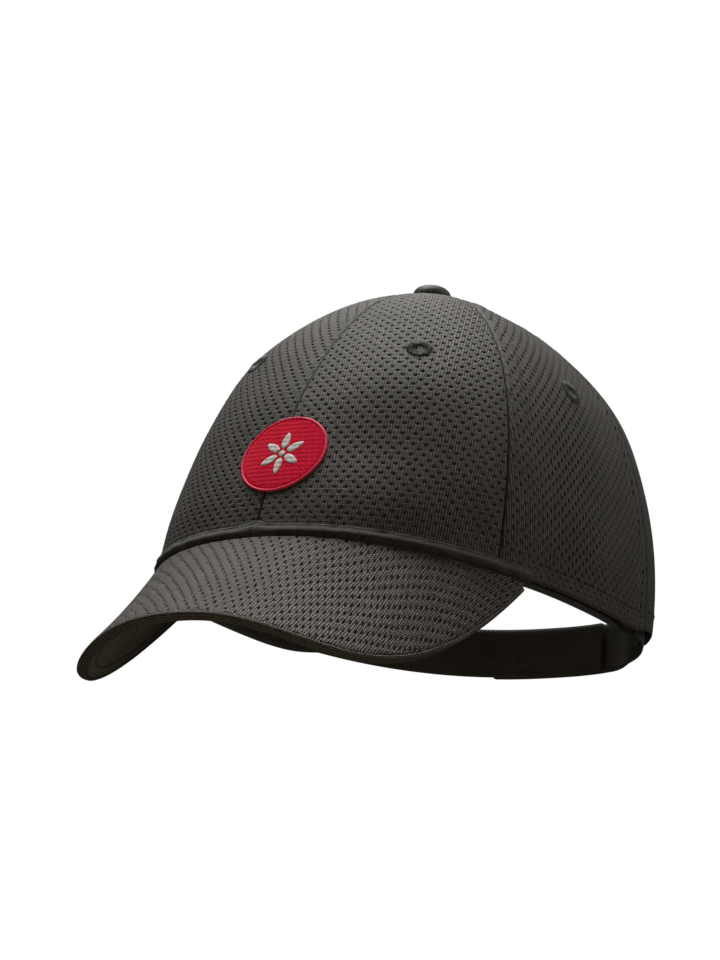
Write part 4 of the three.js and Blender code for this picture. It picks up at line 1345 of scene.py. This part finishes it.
def badge_disc(name, outline, depth_out, depth_in, material, slot, nodes, rings, stitched=0.06):
    """A stitched patch inside an outline of [x, z] points, domed a little, with laid thread rows."""
    outline = np.asarray(outline, float)
    middle = outline.mean(0)
    count = len(outline)
    shares = np.linspace(1, 0, rings, endpoint=False)
    flat = np.concatenate([middle + (outline - middle) * s for s in shares] + [middle[None]])
    dome = np.concatenate([np.full(count, s) for s in shares] + [[0.0]])
    rows = stitched * np.sin(flat[:, 0] * 2.9 + flat[:, 1] * 1.2) * np.sin(flat[:, 1] * 2.3)
    depth = np.where(dome > 0.99, mix(depth_out, depth_in, 0.5), depth_out + rows)
    top = emblem_at(flat[:, 0], flat[:, 1], depth)
    low = emblem_at(outline[:, 0], outline[:, 1], np.full(count, depth_in))
    points = np.concatenate([top, low])
    faces = []
    for ring in range(rings - 1):
        a, b = ring * count, (ring + 1) * count
        faces += [[a + i, a + (i + 1) % count, b + (i + 1) % count, b + i] for i in range(count)]
    hub = rings * count
    last = (rings - 1) * count
    faces += [[last + i, last + (i + 1) % count, hub] for i in range(count)]
    under = hub + 1
    faces += [[i, under + i, under + (i + 1) % count, (i + 1) % count] for i in range(count)]
    faces.append([under + i for i in range(count)])
    uv = np.concatenate([flat, outline])
    piece = settle_normals(make_piece(name, points, faces, [material], uv=uv))
    return stand_for(piece, slot, *nodes)


def badge_outline(share, count=240):
    turn = np.arange(count) * 2 * math.pi / count
    return np.stack([EMBLEM_HALF_WIDTH * share * np.cos(turn),
                     EMBLEM_HALF_HEIGHT * share * np.sin(turn)], -1)


def add_emblem():
    badge_disc("badge_field", badge_outline(0.96), -0.62, -0.1, RED, "emblem_thread", ["emblem_field"],
               rings=20)
    count = 720
    turn = np.arange(count) * 2 * math.pi / count
    threads = 150
    crest = 0.10 * np.abs(np.cos(turn * threads / 2))
    rings = []
    for share, depth in BADGE_RIM_SECTION:
        x, z = badge_outline(share, count).T
        rings.append(emblem_at(x, z, np.full(count, depth) - (crest if depth < -0.6 else 0)))
    rim = sweep("badge_rim", np.stack(rings, 1), RED_EDGE, ring_closed=True)
    stand_for(rim, "emblem_satin", "emblem_border")
    petals = 6
    grow = np.linspace(0, 2 * math.pi, 60, endpoint=False)
    for petal in range(petals):
        lean = petal * 2 * math.pi / petals + math.pi / 2
        far, half = 5.7, 1.55
        along = 3.5 * np.cos(grow)
        wide = half * np.sin(grow) * (1 - 0.25 * np.cos(grow))
        x = (far + along) * math.cos(lean) - wide * math.sin(lean)
        z = (far + along) * math.sin(lean) + wide * math.cos(lean)
        badge_disc(f"badge_petal_{petal + 1}", np.stack([x, z], -1), -0.84, -0.6, WHITE, "label_satin",
                   [], rings=6, stitched=0.05)
    ring = np.arange(48) * 2 * math.pi / 48
    badge_disc("badge_centre", np.stack([1.35 * np.cos(ring), 1.35 * np.sin(ring)], -1), -0.88, -0.6,
               WHITE, "label_satin", [], rings=5)


# ---------- Stitches on the outside ----------

def add_topstitching():
    rows = []
    side = AREAS["side"]
    up = np.linspace(1.5, side["up"][-1] * 0.93, 220)
    low, high = (np.interp(up, side["up"], side[key]) for key in ("left", "right"))
    for inset in (low + TOPSTITCH_INSET, high - TOPSTITCH_INSET):
        keep = (inset < (low + high) / 2) == (inset[0] < (low[0] + high[0]) / 2)
        xy = np.stack([inset, up], -1)[keep]
        angle, rise = side["to_param"](xy)
        rows.append(crown_row(angle, rise))
    for first, last in ((VISOR_END + 0.03, SIDE_BACK_SEAM - 0.02), (SIDE_BACK_SEAM + 0.02, 139 * DEGREE)):
        angle = np.linspace(first, last, 160)
        rows.append(crown_row(angle, rise_over_rim(angle, HEM)))
    angle, height = arch_path(6.0, 300, 0.03, math.pi / 2 - 0.02)
    rows.append(crown_row(angle, rise_at(angle, height)))
    mirrored = [(right_side(line * [-1, 1, 1]), normal * [-1, 1, 1]) for line, normal in rows]
    stitches("crown_topstitching", rows + mirrored, pitch=2.9, length=2.1, radius=0.17)


add_panels()
add_buckram()
add_tapes()
add_arch_tape()
add_seam_shade_cords()
add_sweatband()
add_label()
add_visor()
add_visor_edge()
add_seam_roll()
add_straps()
add_button()
add_eyelets()
add_emblem()
add_topstitching()
for node, material in (("button_shell", STEEL), ("button_washer", STEEL)):
    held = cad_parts[node].data.materials
    held.clear()
    held.append(material)

# ---------- Camera, light and floor ----------

CAMERA_TURN, CAMERA_LIFT, CAMERA_ROLL = 36.652 * DEGREE, -15.008 * DEGREE, 6.302 * DEGREE
CAMERA_FAR, CAMERA_TARGET = 1945.6, (0, 0, 45.0)
CAMERA_LENS, CAMERA_SENSOR = 189.7690, 36
# How far the camera's axis leans off its target, as slopes to its right and up.
AIM_RIGHT, AIM_UP = -0.01099495, 0.00480782


def make_camera():
    back = np.array([math.sin(CAMERA_TURN) * math.cos(CAMERA_LIFT),
                     -math.cos(CAMERA_TURN) * math.cos(CAMERA_LIFT), math.sin(CAMERA_LIFT)])
    right = np.array([math.cos(CAMERA_TURN), math.sin(CAMERA_TURN), 0])
    up = np.cross(back, right)
    turn = (math.cos(CAMERA_ROLL), math.sin(CAMERA_ROLL))
    right, up = turn[0] * right + turn[1] * up, -turn[1] * right + turn[0] * up
    place = np.array(CAMERA_TARGET) + back * CAMERA_FAR
    back = -unit(right * AIM_RIGHT + up * AIM_UP - back)
    right = unit(right - back * (right @ back))
    up = np.cross(back, right)
    camera = bpy.data.objects.new("camera", bpy.data.cameras.new("camera"))
    bpy.context.scene.collection.objects.link(camera)
    matrix = Matrix.Identity(4)
    for column, axis in enumerate((right, up, back)):
        for row in range(3):
            matrix[row][column] = axis[row]
    matrix.translation = Vector(place * MM)
    camera.matrix_world = matrix
    camera.data.sensor_width = CAMERA_SENSOR
    camera.data.lens = CAMERA_LENS
    camera.data.clip_start, camera.data.clip_end = 0.1, 60
    bpy.context.scene.camera = camera


def area_light(name, place, target, size, power, colour=(1, 1, 1)):
    data = bpy.data.lights.new(name, "AREA")
    data.shape = "RECTANGLE"
    data.size, data.size_y = size
    data.energy = power
    data.color = colour
    lamp = bpy.data.objects.new(name, data)
    lamp.location = place
    lamp.rotation_mode = "QUATERNION"
    lamp.rotation_quaternion = (Vector(target) - Vector(place)).to_track_quat("-Z", "Y")
    bpy.context.scene.collection.objects.link(lamp)


def make_studio():
    world = bpy.data.worlds.new("studio")
    bpy.context.scene.world = world
    world.use_nodes = True
    tree = world.node_tree
    background = tree.nodes["Background"]
    rays = tree.nodes.new("ShaderNodeLightPath")
    strength = tree.nodes.new("ShaderNodeMapRange")
    strength.inputs["To Min"].default_value = 0.065
    strength.inputs["To Max"].default_value = 1.0
    tree.links.new(rays.outputs["Is Camera Ray"], strength.inputs["Value"])
    tree.links.new(strength.outputs[0], background.inputs["Strength"])
    background.inputs["Color"].default_value = (1, 1, 1, 1)
    area_light("key", (-0.42, -0.02, 1.5), (0, 0, 0.05), (0.85, 0.75), 54, (0.985, 0.985, 0.985))
    area_light("fill", (0.5, -1.6, 0.5), (0, 0, 0.03), (1.0, 1.0), 0.7, (1.0, 0.85, 0.62))
    area_light("rim", (0.9, 0.7, 1.25), (0, 0, 0.05), (1.0, 0.8), 15)
    area_light("bounce", (0.3, -0.5, -0.48), (0, 0, 0.0), (1.6, 1.6), 3.6, (1.0, 0.86, 0.64))
    floor_mesh = bpy.data.meshes.new("floor")
    half, low = 6.0, -0.52
    floor_mesh.from_pydata([(-half, -half, low), (half, -half, low), (half, half, low), (-half, half, low)],
                           [], [(0, 1, 2, 3)])
    floor = bpy.data.objects.new("floor", floor_mesh)
    bpy.context.scene.collection.objects.link(floor)
    n = Nodes("floor_paint")
    colour = n.colours(n.noise(3, 3), [(0.2, (0.80, 0.80, 0.79)), (0.8, (0.84, 0.84, 0.83))])
    n.shader.inputs["Emission Color"].default_value = (1, 1, 0.99, 1)
    n.shader.inputs["Emission Strength"].default_value = 0.66
    floor_mesh.materials.append(n.finish(colour, 0.85))
    floor.visible_diffuse = floor.visible_glossy = False
    bpy.context.scene.view_settings.view_transform = "Standard"


make_camera()
make_studio()
